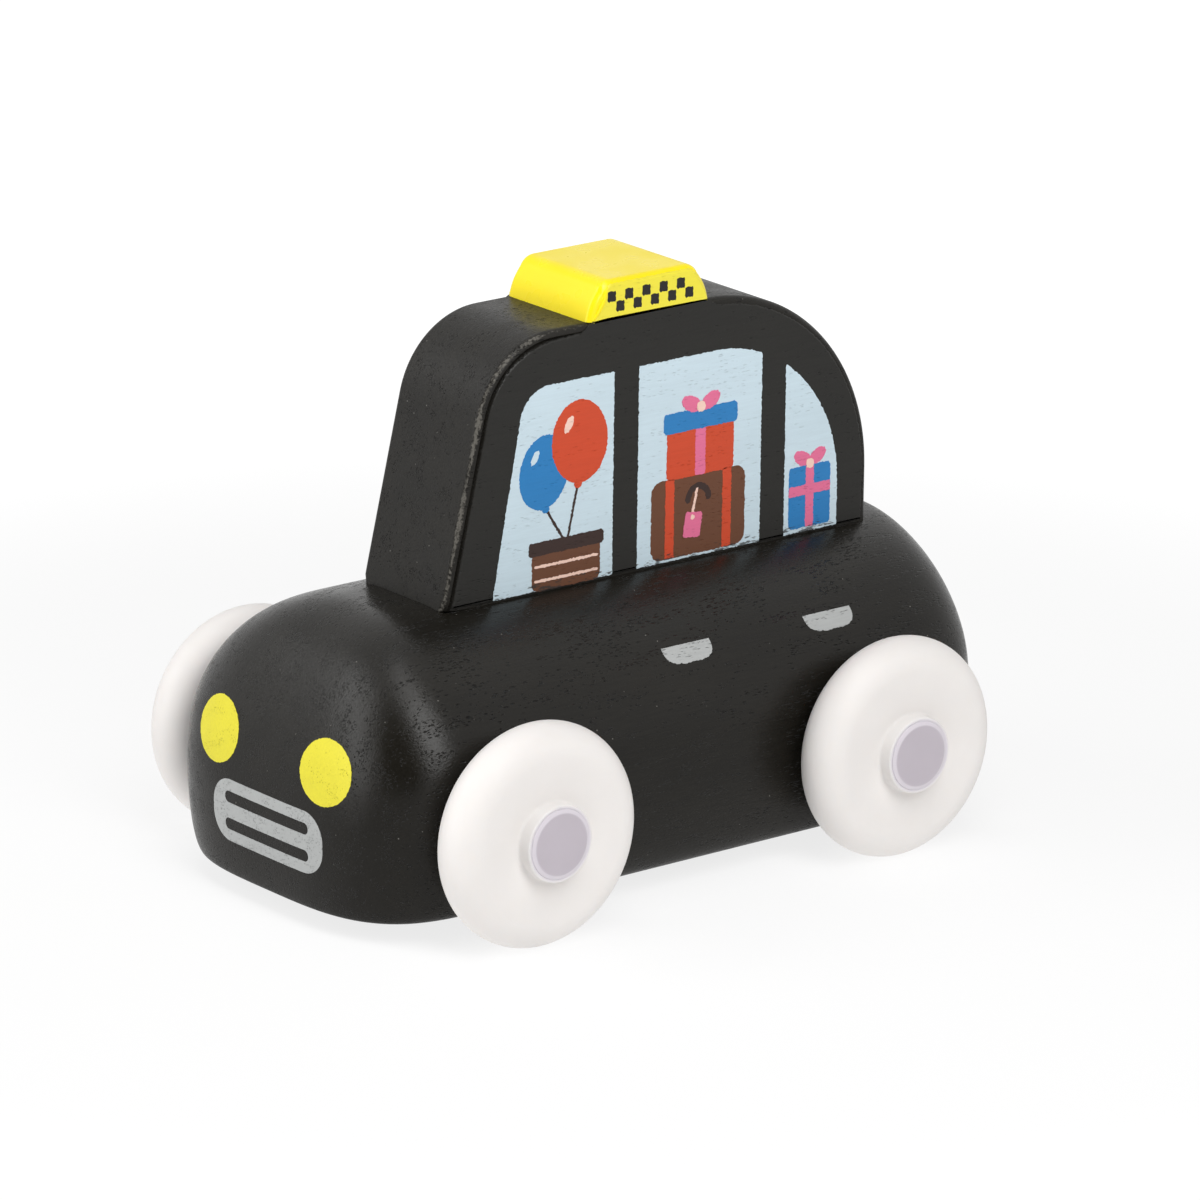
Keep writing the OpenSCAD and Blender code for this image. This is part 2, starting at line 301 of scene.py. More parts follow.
def ragged(outline, amount=0.035 * MM, spacing=0.22 * MM, fewest=12, seed=4):
    """A closed outline resampled at even steps, with each point moved a little out or in, as ink on wood is.

    Returns the points and the unit directions out of the outline.
    """
    closed = np.concatenate([outline, outline[:1]])
    total = np.linalg.norm(np.diff(closed, axis=0), axis=1).sum()
    even = along(closed, max(int(total / spacing), fewest) + 1)[:-1]
    run = np.roll(even, -1, axis=0) - np.roll(even, 1, axis=0)
    area = np.sum(even[:, 0] * run[:, 1] - even[:, 1] * run[:, 0])
    outward = np.sign(area) * np.stack([run[:, 1], -run[:, 0]], -1)
    outward /= np.linalg.norm(run, axis=1, keepdims=True)
    return even + outward * np.random.default_rng(seed).normal(0, amount, (len(even), 1)), outward


class Part:
    """A closed shell on its way into a piece: points, quads, closing faces and its material."""

    def __init__(self, points, quads, material, caps=(), marks=None):
        self.points = np.asarray(points, float).reshape(-1, 3)
        self.quads = np.asarray(quads, int).reshape(-1, 4)
        self.material = material
        self.caps = [list(map(int, cap)) for cap in caps]
        self.marks = np.zeros(len(self.points)) if marks is None else np.asarray(marks, float).ravel()


def put_piece(name, parts, body, stands_for=(), sharp_angle=35):
    """Makes one piece of closed shells. Doubles are merged and normals turned outwards.

    The marks of all shells become the attribute "mark", which a material may read.
    """
    materials = list(dict.fromkeys(part.material for part in parts))
    starts = np.cumsum([0] + [len(part.points) for part in parts])
    points = np.concatenate([part.points for part in parts])
    faces = []
    paints = []
    for part, start in zip(parts, starts):
        own = (part.quads + start).tolist() + [[corner + int(start) for corner in cap] for cap in part.caps]
        faces += own
        paints += [materials.index(part.material)] * len(own)
    mesh = bpy.data.meshes.new(name)
    mesh.from_pydata(points.tolist(), [], faces)
    mesh.polygons.foreach_set("material_index", np.array(paints, np.int32))
    marks = np.concatenate([part.marks for part in parts]).astype(np.float32)
    mesh.attributes.new("mark", "FLOAT", "POINT").data.foreach_set("value", marks)
    work = bmesh.new()
    work.from_mesh(mesh)
    bmesh.ops.remove_doubles(work, verts=work.verts, dist=WELD)
    bmesh.ops.recalc_face_normals(work, faces=work.faces)
    work.to_mesh(mesh)
    work.free()
    mesh.polygons.foreach_set("use_smooth", np.ones(len(mesh.polygons), bool))
    mesh.set_sharp_from_angle(angle=radians(sharp_angle))
    for material in materials:
        mesh.materials.append(material)
    piece = bpy.data.objects.new(name, mesh)
    bpy.context.scene.collection.objects.link(piece)
    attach(piece, body)
    if stands_for:
        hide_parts(*stands_for)
    return piece


def rolled(height, rise, full, roll, hull):
    """Reach of the hull at a height: full up to rise, then drawn in by roll at the crest.

    The draw-in is full - roll + roll * superellipse(t), with t from 0 at rise to 1 at the crest.
    """
    t = np.clip((height - rise) / (HULL_HIGH.z - rise), 0, 1)
    return full - roll + roll * superellipse(t, hull.roll_power)


def tuck_share(height, hull):
    """Share of the tuck at a height: a quarter circle from 1 at the underside to 0 at the tuck height."""
    s = np.clip((height - HULL_LOW.z) / hull.tuck_height, 0, 1)
    return 1 - np.sqrt(1 - (1 - s) ** 2)


def half_width(height, hull):
    """Half width of the hull at a height."""
    full = rolled(height, hull.side_rise, HULL_HIGH.y, hull.side_roll, hull)
    return full - hull.side_tuck * tuck_share(height, hull)


def end_reach(height, hull, end):
    """Distance of the nose or the tail from the middle, at a height."""
    rise, roll = (hull.nose_rise, hull.nose_roll) if end == "nose" else (hull.tail_rise, hull.tail_roll)
    return rolled(height, rise, hull.half_length, roll, hull) - hull.end_tuck * tuck_share(height, hull)


def corner_starts(hull):
    """Distances from the middle at which the plan corners start, at the nose and at the tail."""
    return hull.half_length - hull.nose_corner, hull.half_length - hull.tail_corner


def side_wall(x, height, hull):
    """Distance of the hull's wall from the middle plane, at x and a height.

    The plan is straight between the corners, and in a corner it is half width * superellipse(u), with u
    from 0 at the corner's start to 1 at the nose or tail.
    """
    nose_start, tail_start = corner_starts(hull)
    ahead = (x - nose_start) / (end_reach(height, hull, "nose") - nose_start)
    behind = (-x - tail_start) / (end_reach(height, hull, "tail") - tail_start)
    u = np.clip(np.maximum(ahead, behind), 0, 1)
    return half_width(height, hull) * superellipse(u, hull.corner_power)


def nose_wall(y, height, hull):
    """Distance of the nose's wall from the hull's middle, at y and a height: the same superellipse turned
    round, with v from 0 at the middle to 1 at a side."""
    start = corner_starts(hull)[0]
    v = np.clip(np.abs(y) / half_width(height, hull), 0, 1)
    return start + (end_reach(height, hull, "nose") - start) * superellipse(v, hull.corner_power)


# Steps of the hull's grid, and the margin by which the points under the cabin stay inside its foot
CORNER_STEPS = 44
SIDE_STEPS = 60
HEIGHT_STEPS = 96
SEAT_MARGIN = 0.2 * MM


def hull_loops(hull):
    """The hull's wall as a grid: one closed plan outline for each height.

    A corner runs over an angle a with cos(a)^(2/p) along X and sin(a)^(2/p) along Y. Angles and heights
    are closer together at their ends, on a cosine.
    """
    climb = (1 - np.cos(np.linspace(0, pi, HEIGHT_STEPS + 1))) / 2
    height = (HULL_LOW.z + (HULL_HIGH.z - HULL_LOW.z) * climb)[:, None]
    turn = (pi / 4) * (1 - np.cos(np.linspace(0, pi, CORNER_STEPS + 1)))[None, :]
    run = np.abs(np.cos(turn)) ** (2 / hull.corner_power)
    spread = np.abs(np.sin(turn)) ** (2 / hull.corner_power)
    nose_start, tail_start = corner_starts(hull)
    nose = nose_start + (end_reach(height, hull, "nose") - nose_start) * run
    tail = -tail_start - (end_reach(height, hull, "tail") - tail_start) * run
    side = np.linspace(nose_start, -tail_start, SIDE_STEPS + 1)[None, 1:-1] + 0 * height
    x = np.concatenate([nose, side, tail[:, ::-1]], axis=1)
    share = np.concatenate([spread, np.ones((1, SIDE_STEPS - 1)), spread[:, ::-1]], axis=1)
    y = half_width(height, hull) * share
    z = height + 0 * x
    left = np.stack([x, y, z], -1)
    right = left[:, -2:0:-1] * (1, -1, 1)
    return np.concatenate([left, right], axis=1)


def cut_bores(points, quads, twin, hull):
    """Opens the axle bores: quads inside a bore go, the rim's points move on to its circle, and a tube of
    quads joins the left rim to its twin on the right."""
    tubes = []
    for axle in AXLES:
        centre = axle_line(f"{axle}_axle")
        offset = points[:, [0, 2]] - centre
        reach = np.linalg.norm(offset, axis=1)
        inside = reach < hull.bore_radius
        gone = inside[quads].any(axis=1)
        rim_edges = open_edges(quads[gone])
        rim = np.unique(rim_edges)
        place = centre + offset[rim] / reach[rim, None] * hull.bore_radius
        points[rim, 0] = place[:, 0]
        points[rim, 2] = place[:, 1]
        points[rim, 1] = np.sign(points[rim, 1]) * side_wall(place[:, 0], place[:, 1], hull)
        left = rim_edges[points[rim_edges[:, 0], 1] > 0]
        tubes.append(np.stack([left[:, 0], left[:, 1], twin[left[:, 1]], twin[left[:, 0]]], -1))
        quads = quads[~gone]
    return points, np.concatenate([quads] + tubes)


def hull_part(hull, material):
    """The hull's closed shell: its wall, a crest and an underside of strips across, and the two bores.

    Points under the cabin are held down to the level of its seat.
    """
    loops = hull_loops(hull)
    rows, columns = loops.shape[:2]
    points = loops.reshape(-1, 3)
    column = np.arange(columns)
    twin_column = (columns - column) % columns
    twin = (np.arange(rows)[:, None] * columns + twin_column[None, :]).ravel()
    quads = grid_quads(rows, columns, close_columns=True)
    half = np.arange(1, columns // 2 - 1)
    strip = np.stack([half, half + 1, twin_column[half + 1], twin_column[half]], -1)
    crest = (rows - 1) * columns
    ends = []
    for start in (0, crest):
        ends.append([start, start + 1, start + columns - 1])
        ends.append([start + columns // 2 - 1, start + columns // 2, start + columns // 2 + 1])
    quads = np.concatenate([quads, strip, strip + crest])
    points, quads = cut_bores(points, quads, twin, hull)
    seated = (
        (np.abs(points[:, 1]) < CABIN_HIGH.y - SEAT_MARGIN)
        & (points[:, 0] > CABIN_LOW.x + SEAT_MARGIN)
        & (points[:, 0] < CABIN_HIGH.x - SEAT_MARGIN)
    )
    points[:, 2] = np.where(seated, np.minimum(points[:, 2], CABIN_LOW.z), points[:, 2])
    return Part(points, quads, material, caps=ends)


def lean_centre(foot, base, lean, radius, crest):
    """Centre of the arc that joins an edge leaning back from foot to a level crest."""
    return foot - (radius + (crest - radius - base) * sin(lean)) / cos(lean), crest - radius


# Points along each stretch of the cabin's outline
SCREEN_POINTS = 25
BROW_POINTS = 25
ROOF_POINTS = 33
BACK_POINTS = 49
TAIL_POINTS = 9
FOOT_POINTS = 62


def cabin_outline(inset, cabin, base=CABIN_LOW.z):
    """The cabin's outline in X and Z, drawn in by inset: windscreen, brow arc, roof, round back and foot.

    The foot's front end is sanded up by lift * t^2, with t from 0 to 1 over the toe's length.
    """
    lean = cabin.windscreen_lean
    crest = CABIN_HIGH.z - inset
    brow_radius = cabin.brow_radius - inset
    back_radius = cabin.back_radius - inset
    foot = CABIN_HIGH.x - inset / cos(lean) - (base - CABIN_LOW.z) * tan(lean)
    back = CABIN_LOW.x + inset
    brow = lean_centre(foot, base, lean, brow_radius, crest)
    rear = (back + back_radius, crest - back_radius)
    toe = (foot - cabin.toe_lift * tan(lean), base + cabin.toe_lift)
    brow_arc = arc(brow, brow_radius, lean, pi / 2, BROW_POINTS)
    back_arc = arc(rear, back_radius, pi / 2, pi, BACK_POINTS)
    screen = np.linspace(toe, brow_arc[0], SCREEN_POINTS)[:-1]
    roof = np.linspace(brow_arc[-1], back_arc[0], ROOF_POINTS)[1:-1]
    tail = np.linspace(back_arc[-1], (back, base), TAIL_POINTS)[1:]
    floor = np.linspace((back, base), (toe[0], base), FOOT_POINTS)[1:-1]
    share = np.clip((floor[:, 0] - toe[0]) / cabin.toe_length + 1, 0, 1)
    floor[:, 1] += cabin.toe_lift * share**2
    return chain(screen, brow_arc, roof, back_arc, tail, floor)


# Points along each stretch of the sign's outline, its smallest upper radius and its middle along X
SLOPE_POINTS = 13
BEND_POINTS = 9
TOP_POINTS = 31
SOLE_POINTS = 41
SMALLEST_BEND = 0.3 * MM
SIGN_MIDDLE = (SIGN_LOW.x + SIGN_HIGH.x) / 2


def sign_outline(inset, sign, base=SIGN_LOW.z):
    """The roof sign's outline in X and Z, drawn in by inset: two sloping ends with arcs up to a level top.

    An end swells by bulge * sin(pi * t), with t from 0 at the foot to 1 at the arc.
    """
    top = SIGN_HIGH.z - inset
    radius = max(sign.corner_round - inset / 2, SMALLEST_BEND)
    reach = (SIGN_HIGH.x - SIGN_LOW.x) / 2 - inset / cos(sign.slope)
    corner = lean_centre(reach, SIGN_LOW.z, sign.slope, radius, top)
    foot = reach - (base - SIGN_LOW.z) * tan(sign.slope)
    bend = arc(corner, radius, sign.slope, pi / 2, BEND_POINTS)
    slope = np.linspace((foot, base), bend[0], SLOPE_POINTS)
    swell = sign.bulge * np.sin(np.linspace(0, pi, SLOPE_POINTS))[:, None]
    slope += swell * (cos(sign.slope), sin(sign.slope))
    ahead = chain(slope[:-1], bend)
    behind = ahead[::-1] * (-1, 1)
    top_line = np.linspace(ahead[-1], behind[0], TOP_POINTS)[1:-1]
    floor = np.linspace(behind[-1], ahead[0], SOLE_POINTS)[1:-1]
    return chain(ahead, top_line, behind, floor) + (SIGN_MIDDLE, 0)


# Rub marks and a painted highlight on the rims: the turn from the edge towards the face at which they are
# full, their spread to both sides, the places along X where they are full and where they have run out, and
# their fading in shares of the rounding
RUB_AND_HIGHLIGHT_TURN = 0.75
RUB_AND_HIGHLIGHT_SPREAD = 0.5
RUB_AND_HIGHLIGHT_AHEAD = 13 * MM
RUB_AND_HIGHLIGHT_BEHIND = 3 * MM
RUB_AND_HIGHLIGHT_FADE = 0.4
# Level loops on a slab's face, in shares of the rounding, and the groove's lip and bottom, in shares of its
# width and depth
FACE_LOOPS = np.array((0.8, 0.2))
GROOVE_ACROSS = np.array((1, 0.5))
GROOVE_DOWN = np.array((0, 1))
# Length over which the rounding of the foot's front corners sets in, and its start in such lengths
TOE_FADE = 0.9 * MM
TOE_START = 1.6
# The level loop in a soft print's face, in shares of its softness
LEVEL_LOOP = 1.6


def run_out(x):
    """Share of the rim marks (rub marks and a painted highlight), groove and open rim at x: 1 ahead of
    RUB_AND_HIGHLIGHT_AHEAD, running out to 0 at RUB_AND_HIGHLIGHT_BEHIND.
    """
    return np.clip((x - RUB_AND_HIGHLIGHT_BEHIND) / (RUB_AND_HIGHLIGHT_AHEAD - RUB_AND_HIGHLIGHT_BEHIND), 0, 1)


def slab_part(outline, half_thickness, rounding, material, groove=(0.0, 0.0), arc_steps=10, flat_steps=20):
    """A slab with rounded rims, carried along Y as one loop after another.

    On a rim, the loop at the angle a is drawn in by r * (1 - cos a) and stands at h - r + r * sin a.
    A groove of a width and a depth may run between a rim and its face. The mark is 1 where a rim has the
    most rub marks and painted highlight, and fades to 0 on the faces. Mark and groove run out with
    run_out(x).
    """
    wide, deep = groove
    turn = np.linspace(pi / 2, 0, arc_steps + 1)
    face_inset = rounding + wide + FACE_LOOPS * rounding
    face_stand = np.full(len(FACE_LOOPS), half_thickness)
    if wide:
        face_inset = np.append(face_inset, rounding + wide * GROOVE_ACROSS)
        face_stand = np.append(face_stand, half_thickness - deep * GROOVE_DOWN)
    inset = np.concatenate([face_inset, rounding * (1 - np.cos(turn))])
    crest = half_thickness - rounding
    stand = np.concatenate([face_stand, crest + rounding * np.sin(turn)])
    # The mark places the rims' rub marks and their painted highlight, full at one turn of the rim.
    worn_and_highlit = np.concatenate([0 * face_inset, np.exp(-(((turn - RUB_AND_HIGHLIGHT_TURN) / RUB_AND_HIGHLIGHT_SPREAD) ** 2))])
    flat = crest * np.sin(np.linspace(pi / 2, -pi / 2, flat_steps + 1)[1:-1])
    flat_worn_and_highlit = worn_and_highlit[-1] * np.exp(-(((crest - np.abs(flat)) / (RUB_AND_HIGHLIGHT_FADE * rounding)) ** 2))
    inset = np.concatenate([inset, 0 * flat, inset[::-1]])
    stand = np.concatenate([stand, flat, -stand[::-1]])
    worn_and_highlit = np.concatenate([worn_and_highlit, flat_worn_and_highlit, worn_and_highlit[::-1]])
    loops = np.stack([outline(drawn_in) for drawn_in in inset])
    rows, columns = loops.shape[:2]
    ahead = run_out(loops[..., 0])
    grooved = (np.arange(rows) == len(face_inset) - 1) & (wide > 0)
    grooved = grooved.astype(float) - grooved[::-1]
    y = stand[:, None] + deep * grooved[:, None] * (1 - ahead)
    points = np.stack([loops[..., 0], y, loops[..., 1]], -1)
    quads = grid_quads(rows, columns, close_columns=True)
    return Part(points, quads, material, end_caps(rows, columns), worn_and_highlit[:, None] * ahead)


def round_toes(points, toe_round):
    """Draws the cabin's two front foot corners in, ahead of the film.

    A point loses the share r * s^2 of its distance from the middle, with s from 0 at the height 2r above the
    foot to 1 at the foot, and nothing behind the windscreen's rim.
    """
    low = np.clip(1 - (points[:, 2] - CABIN_LOW.z) / (2 * toe_round), 0, 1)
    ahead = np.clip((points[:, 0] - CABIN_HIGH.x) / TOE_FADE + TOE_START, 0, 1)
    points[:, 1] *= 1 - toe_round / CABIN_HIGH.y * ahead * low**2


def plate_part(outline, side, low, high, material, soft=0.0):
    """A flat print: an outline in X and Z, carried from the distance low to the distance high on one side.

    A soft print's face is drawn in by soft, so that its edge runs down to the wood. A level loop further in
    keeps the face itself flat.
    """
    edge, outward = ragged(outline)
    count = len(edge)
    loops = [(edge, low), (edge, high - soft)]
    if soft:
        loops += [(edge - soft * outward, high), (edge - LEVEL_LOOP * soft * outward, high)]
    points = [np.stack([loop[:, 0], np.full(count, side * reach), loop[:, 1]], -1) for loop, reach in loops]
    quads = grid_quads(len(loops), count, close_columns=True)
    return Part(np.stack(points), quads, material, end_caps(len(loops), count))


def stroke(path, half, count=48, cap_count=13):
    """Outline of a thick line with round ends: the path moved to its left, a half circle, the path moved to
    its right, and a half circle."""
    even, run, left = even_run(path, count)
    first = np.arctan2(run[0, 1], run[0, 0])
    last = np.arctan2(run[-1, 1], run[-1, 0])
    start_cap = arc(even[0], half, first - pi / 2, first - 1.5 * pi, cap_count)[1:-1]
    end_cap = arc(even[-1], half, last + pi / 2, last - pi / 2, cap_count)[1:-1]
    return chain(even + half * left, end_cap, (even - half * left)[::-1], start_cap)


def bead_part(path, side, ground, half_wide, height, material, steps=41, around=24, thin=0.02):
    """A bead of paint: an ellipse carried along a path in X and Z, half sunk in the ground.

    Its width and height at t, from thin to 1 - thin along the path, follow sin(pi * t)^0.5.
    """
    even, _, across = even_run(path, steps)
    share = np.sqrt(np.sin(np.linspace(thin, 1 - thin, steps) * pi))[:, None]
    turn = np.linspace(0, 2 * pi, around, endpoint=False)[None, :]
    flat = even[:, None, :] + across[:, None, :] * (half_wide * share * np.cos(turn))[..., None]
    reach = ground + height * share * np.sin(turn)
    points = np.stack([flat[..., 0], side * reach, flat[..., 1]], -1)
    return Part(points, grid_quads(steps, around, close_columns=True), material, end_caps(steps, around))


def sheet_part(points, quads, normals, lift, depth, material, digits=8):
    """A thin closed print on a curved wall: its points lifted along their normals, the same points sunk into
    the wall, and walls along the open edges between them. Points that agree in their digits are merged."""
    points, index = np.unique(np.round(points, digits), axis=0, return_inverse=True)
    merged = np.zeros_like(points)
    merged[index.ravel()] = normals
    quads = index.ravel()[quads]
    count = len(points)
    edges = open_edges(quads)
    walls = np.stack([edges[:, 1], edges[:, 0], edges[:, 0] + count, edges[:, 1] + count], -1)
    both = np.concatenate([points + lift * merged, points - depth * merged])
    return Part(both, np.concatenate([quads, quads[:, ::-1] + count, walls]), material)


def lathe_part(radius, reach, centre, material, marks, close=False, steps=192):
    """A profile of radii and reaches along Y, turned about the axle's line through centre in X and Z."""
    turn = np.linspace(0, 2 * pi, steps, endpoint=False)[None, :]
    radius = np.asarray(radius)[:, None]
    reach = np.asarray(reach)[:, None]
    x = centre[0] + radius * np.cos(turn)
    z = centre[1] + radius * np.sin(turn)
    points = np.stack([x, reach + 0 * x, z], -1)
    rows = len(radius)
    caps = () if close else [cap[::-1] for cap in end_caps(rows, steps)]
    marks = np.broadcast_to(np.asarray(marks)[:, None], x.shape)
    return Part(points, grid_quads(rows, steps, close, True), material, caps, marks)


class Graph:
    """Adds nodes to a tree, with inputs given as plain values or as other nodes' outputs."""

    def __init__(self, tree):
        self.tree = tree

    def add(self, kind, inputs=None, **settings):
        """A new node with its settings and inputs."""
        node = self.tree.nodes.new(kind)
        for key, value in settings.items():
            setattr(node, key, value)
        for key, value in (inputs or {}).items():
            if isinstance(value, bpy.types.NodeSocket):
                self.link(value, node.inputs[key])
            else:
                node.inputs[key].default_value = value
        return node

    def link(self, output, socket):
        """Joins an output to another node's input."""
        self.tree.links.new(output, socket)

    def group(self, name, build, **inputs):
        """The outputs of a node group, which is built the first time that it is asked for. Its inputs are
        given by their names in lower case."""
        if name not in bpy.data.node_groups:
            build(name)
        inputs = {key.replace("_", " ").title(): value for key, value in inputs.items()}
        return self.add("ShaderNodeGroup", inputs, node_tree=bpy.data.node_groups[name]).outputs

    def math(self, operation, first, second=0.0):
        """One operation on two values."""
        return self.add("ShaderNodeMath", {0: first, 1: second}, operation=operation).outputs[0]

    def times(self, first, second):
        """The product of two values."""
        return self.math("MULTIPLY", first, second)

    def plus(self, first, second, share=None):
        """A value plus another one, or plus a share of it."""
        return self.math("ADD", first, second if share is None else self.times(second, share))

    def scale(self, vector, factors):
        """A vector multiplied by three factors."""
        return self.add("ShaderNodeVectorMath", {0: vector, 1: factors}, operation="MULTIPLY").outputs[0]

    def span(self, value, low, high, to_low=0.0, to_high=1.0):
        """A value eased from one range to another and held at its ends."""
        inputs = {0: value, 1: low, 2: high, 3: to_low, 4: to_high}
        return self.add("ShaderNodeMapRange", inputs, interpolation_type="SMOOTHSTEP").outputs[0]

    def spread(self, noise, to_low=0.0, to_high=1.0):
        """Noise eased from the range in which most of it lies to another one."""
        return self.span(noise, 0.3, 0.7, to_low, to_high)

    def mix(self, share, first, second):
        """A colour between two others."""
        return self.add("ShaderNodeMix", {0: share, 6: first, 7: second}, data_type="RGBA").outputs[2]

    def two_tone(self, share, rgb, change):
        """A colour that is darker by a change where share is 0 and lighter where it is 1."""
        return self.mix(share, opaque(rgb, 1 - change), opaque(rgb, 1 + change))

    def noise(self, vector, scale=1.0, detail=2.0, roughness=0.5):
        """Soft noise of about 0 to 1."""
        inputs = {"Vector": vector, "Scale": scale, "Detail": detail, "Roughness": roughness}
        return self.add("ShaderNodeTexNoise", inputs).outputs[0]

    def mark(self):
        """The piece's own attribute."""
        return self.add("ShaderNodeAttribute", attribute_name="mark").outputs["Fac"]


def new_group(name, values, outputs):
    """An empty shader node group with a place, other values and outputs. Returns its graph and inputs."""
    tree = bpy.data.node_groups.new(name, "ShaderNodeTree")
    tree.interface.new_socket(name="Place", in_out="INPUT", socket_type="NodeSocketVector")
    for label in values:
        tree.interface.new_socket(name=label, in_out="INPUT", socket_type="NodeSocketFloat")
    for label in outputs:
        tree.interface.new_socket(name=label, in_out="OUTPUT", socket_type="NodeSocketFloat")
    graph = Graph(tree)
    return graph, graph.add("NodeGroupInput").outputs


# Factors from metres to millimetres, and spots of the wood's grain per millimetre along X and across it
TO_MILLIMETRES = (1000, 1000, 1000)
GRAIN_BROAD = (0.06, 0.16, 0.16)
GRAIN_PORES = (1.15, 5.0, 5.0)
GRAIN_PATCHES = (0.11, 0.5, 0.5)
GRAIN_FIBRE = (0.3, 4.0, 4.0)
GRAIN_FINE = (2.6, 4.4, 4.4)
# How far the rows of pores wander, in cells, and the heights of fibre and fine grain beside the pores' depth
PORE_WANDER = (1.1, 0.9, 0.9)
FIBRE_HEIGHT = 0.2
FINE_HEIGHT = 0.38
# Spots per metre of the rims' rub marks and painted highlight, of the stretches in which they come and go,
# of specks, which are partly painted glints, and of plastic skin
RUB_AND_HIGHLIGHT_SPOTS = (2600, 5200, 2600)
RUB_AND_HIGHLIGHT_STRETCHES = 180.0
SPECK_SPOTS = 2600.0
SKIN_SPOTS = 2600.0


def build_wood_grain(name):
    """Grain that shows through a thin finish: patches of pores as short dashes along X, fibres, a fine and a
    broad tone, and the relief of them all."""
    labels = ("Pores", "Fibre", "Fine", "Broad", "Relief")
    graph, start = new_group(name, ("Pore Share",), labels)
    place = graph.scale(start["Place"], TO_MILLIMETRES)
    broad = graph.noise(graph.scale(place, GRAIN_BROAD))
    stretched = graph.scale(place, GRAIN_PORES)
    wander = graph.add("ShaderNodeTexNoise", {"Vector": stretched, "Scale": 1.3, "Detail": 2.0})
    bent = graph.scale(wander.outputs["Color"], PORE_WANDER)
    bent = graph.add("ShaderNodeVectorMath", {0: stretched, 1: bent}, operation="ADD").outputs[0]
    cells = graph.add("ShaderNodeTexVoronoi", {"Vector": bent, "Scale": 1.0}).outputs
    tint = graph.add("ShaderNodeSeparateColor", {0: cells["Color"]}).outputs
    patch = graph.noise(graph.scale(place, GRAIN_PATCHES), roughness=0.6)
    patch = graph.span(patch, 0.45, 0.64, 0.12, 1.5)
    chosen = graph.math("LESS_THAN", tint[0], graph.times(start["Pore Share"], patch))
    size = graph.span(tint[2], 0.0, 1.0, 0.24, 0.6)
    pores = graph.times(graph.span(cells["Distance"], 0.1, size, 1.0, 0.0), chosen)
    fibre = graph.noise(graph.scale(place, GRAIN_FIBRE), detail=3.0, roughness=0.6)
    fine = graph.noise(graph.scale(place, GRAIN_FINE), detail=3.0, roughness=0.7)
    relief = graph.plus(graph.times(fibre, FIBRE_HEIGHT), fine, FINE_HEIGHT)
    relief = graph.math("SUBTRACT", relief, pores)
    graph.add("NodeGroupOutput", dict(zip(labels, (pores, fibre, fine, broad, relief))))


def build_rubbed_edge_and_highlight(name):
    """Rub marks and a painted highlight on the rims: where the mark is high, broken up by noise that is
    shorter across the rim's wood.
    """
    graph, start = new_group(name, ("Mark",), ("Wear",))
    broken = graph.noise(graph.scale(start["Place"], RUB_AND_HIGHLIGHT_SPOTS), detail=4.0, roughness=0.65)
    coming_and_going = graph.noise(start["Place"], RUB_AND_HIGHLIGHT_STRETCHES)
    level = graph.plus(start["Mark"], graph.spread(broken, -0.45, 0.3))
    level = graph.plus(level, graph.span(coming_and_going, 0.35, 0.65, -0.3, 0.1))
    graph.add("NodeGroupOutput", {"Wear": graph.span(level, 0.35, 0.95)})


def build_specks(name):
    """Small scattered specks, partly painted glints: the middles of a few chosen cells."""
    graph, start = new_group(name, ("Per Metre", "Share"), ("Specks",))
    inputs = {"Vector": start["Place"], "Scale": start["Per Metre"]}
    cells = graph.add("ShaderNodeTexVoronoi", inputs).outputs
    lot = graph.add("ShaderNodeSeparateColor", {0: cells["Color"]}).outputs[1]
    chosen = graph.math("LESS_THAN", lot, start["Share"])
    dot = graph.span(cells["Distance"], 0.1, 0.28, 1.0, 0.0)
    graph.add("NodeGroupOutput", {"Specks": graph.times(dot, chosen)})


def build_mottle(name):
    """Cloudy change of tone and a fine skin, as on moulded plastic and thick paint."""
    graph, start = new_group(name, ("Cloud Per Metre",), ("Cloud", "Skin"))
    cloud = graph.noise(start["Place"], start["Cloud Per Metre"], 3.0, 0.55)
    skin = graph.noise(start["Place"], SKIN_SPOTS)
    graph.add("NodeGroupOutput", {"Cloud": cloud, "Skin": skin})


def start_material(name):
    """A new material's graph, its shader and its place socket in object coordinates."""
    material = bpy.data.materials.new(name)
    material.use_nodes = True
    graph = Graph(material.node_tree)
    shader = material.node_tree.nodes["Principled BSDF"]
    place = graph.add("ShaderNodeTexCoord").outputs["Object"]
    return material, graph, shader, place


def opaque(rgb, gain=1.0):
    """A colour with full cover, made lighter or darker by gain."""
    return tuple(min(channel * gain, 1.0) for channel in rgb) + (1.0,)


def finish_material(graph, shader, base, roughness, relief, depth):
    """Links colour, roughness and a bump of the given depth in metres to the shader."""
    graph.link(base, shader.inputs["Base Color"])
    graph.link(roughness, shader.inputs["Roughness"])
    bump = graph.add("ShaderNodeBump", {"Strength": 1.0, "Distance": depth, "Height": relief})
    graph.link(bump.outputs["Normal"], shader.inputs["Normal"])


# Cover of pores, specks and scuffs, from 0 to 1, and the tones of specks and scuffs. The pale specks are
# partly bare wood and partly painted glints.
PORE_COVER = 0.85
SPECK_COVER = 0.3
SCUFF_COVER = 0.85
SPECK_AND_GLINT_TONE = linear(190, 186, 178)
SCUFF_TONE = linear(52, 49, 47)
# Change of roughness in fine grain, pores, broad tone and the rims' rub marks with their painted highlight
FINE_DULL = 0.07
PORE_DULL = 0.25
BROAD_DULL = 0.05
RUB_AND_HIGHLIGHT_DULL = 0.12
# Scuffs per metre along X and across it, how much likelier they are at the foot, and the rise of pores there
SCUFF_SPOTS = (700, 3600, 3600)
SCUFF_FOOT = 0.31
PORE_FOOT = 0.8


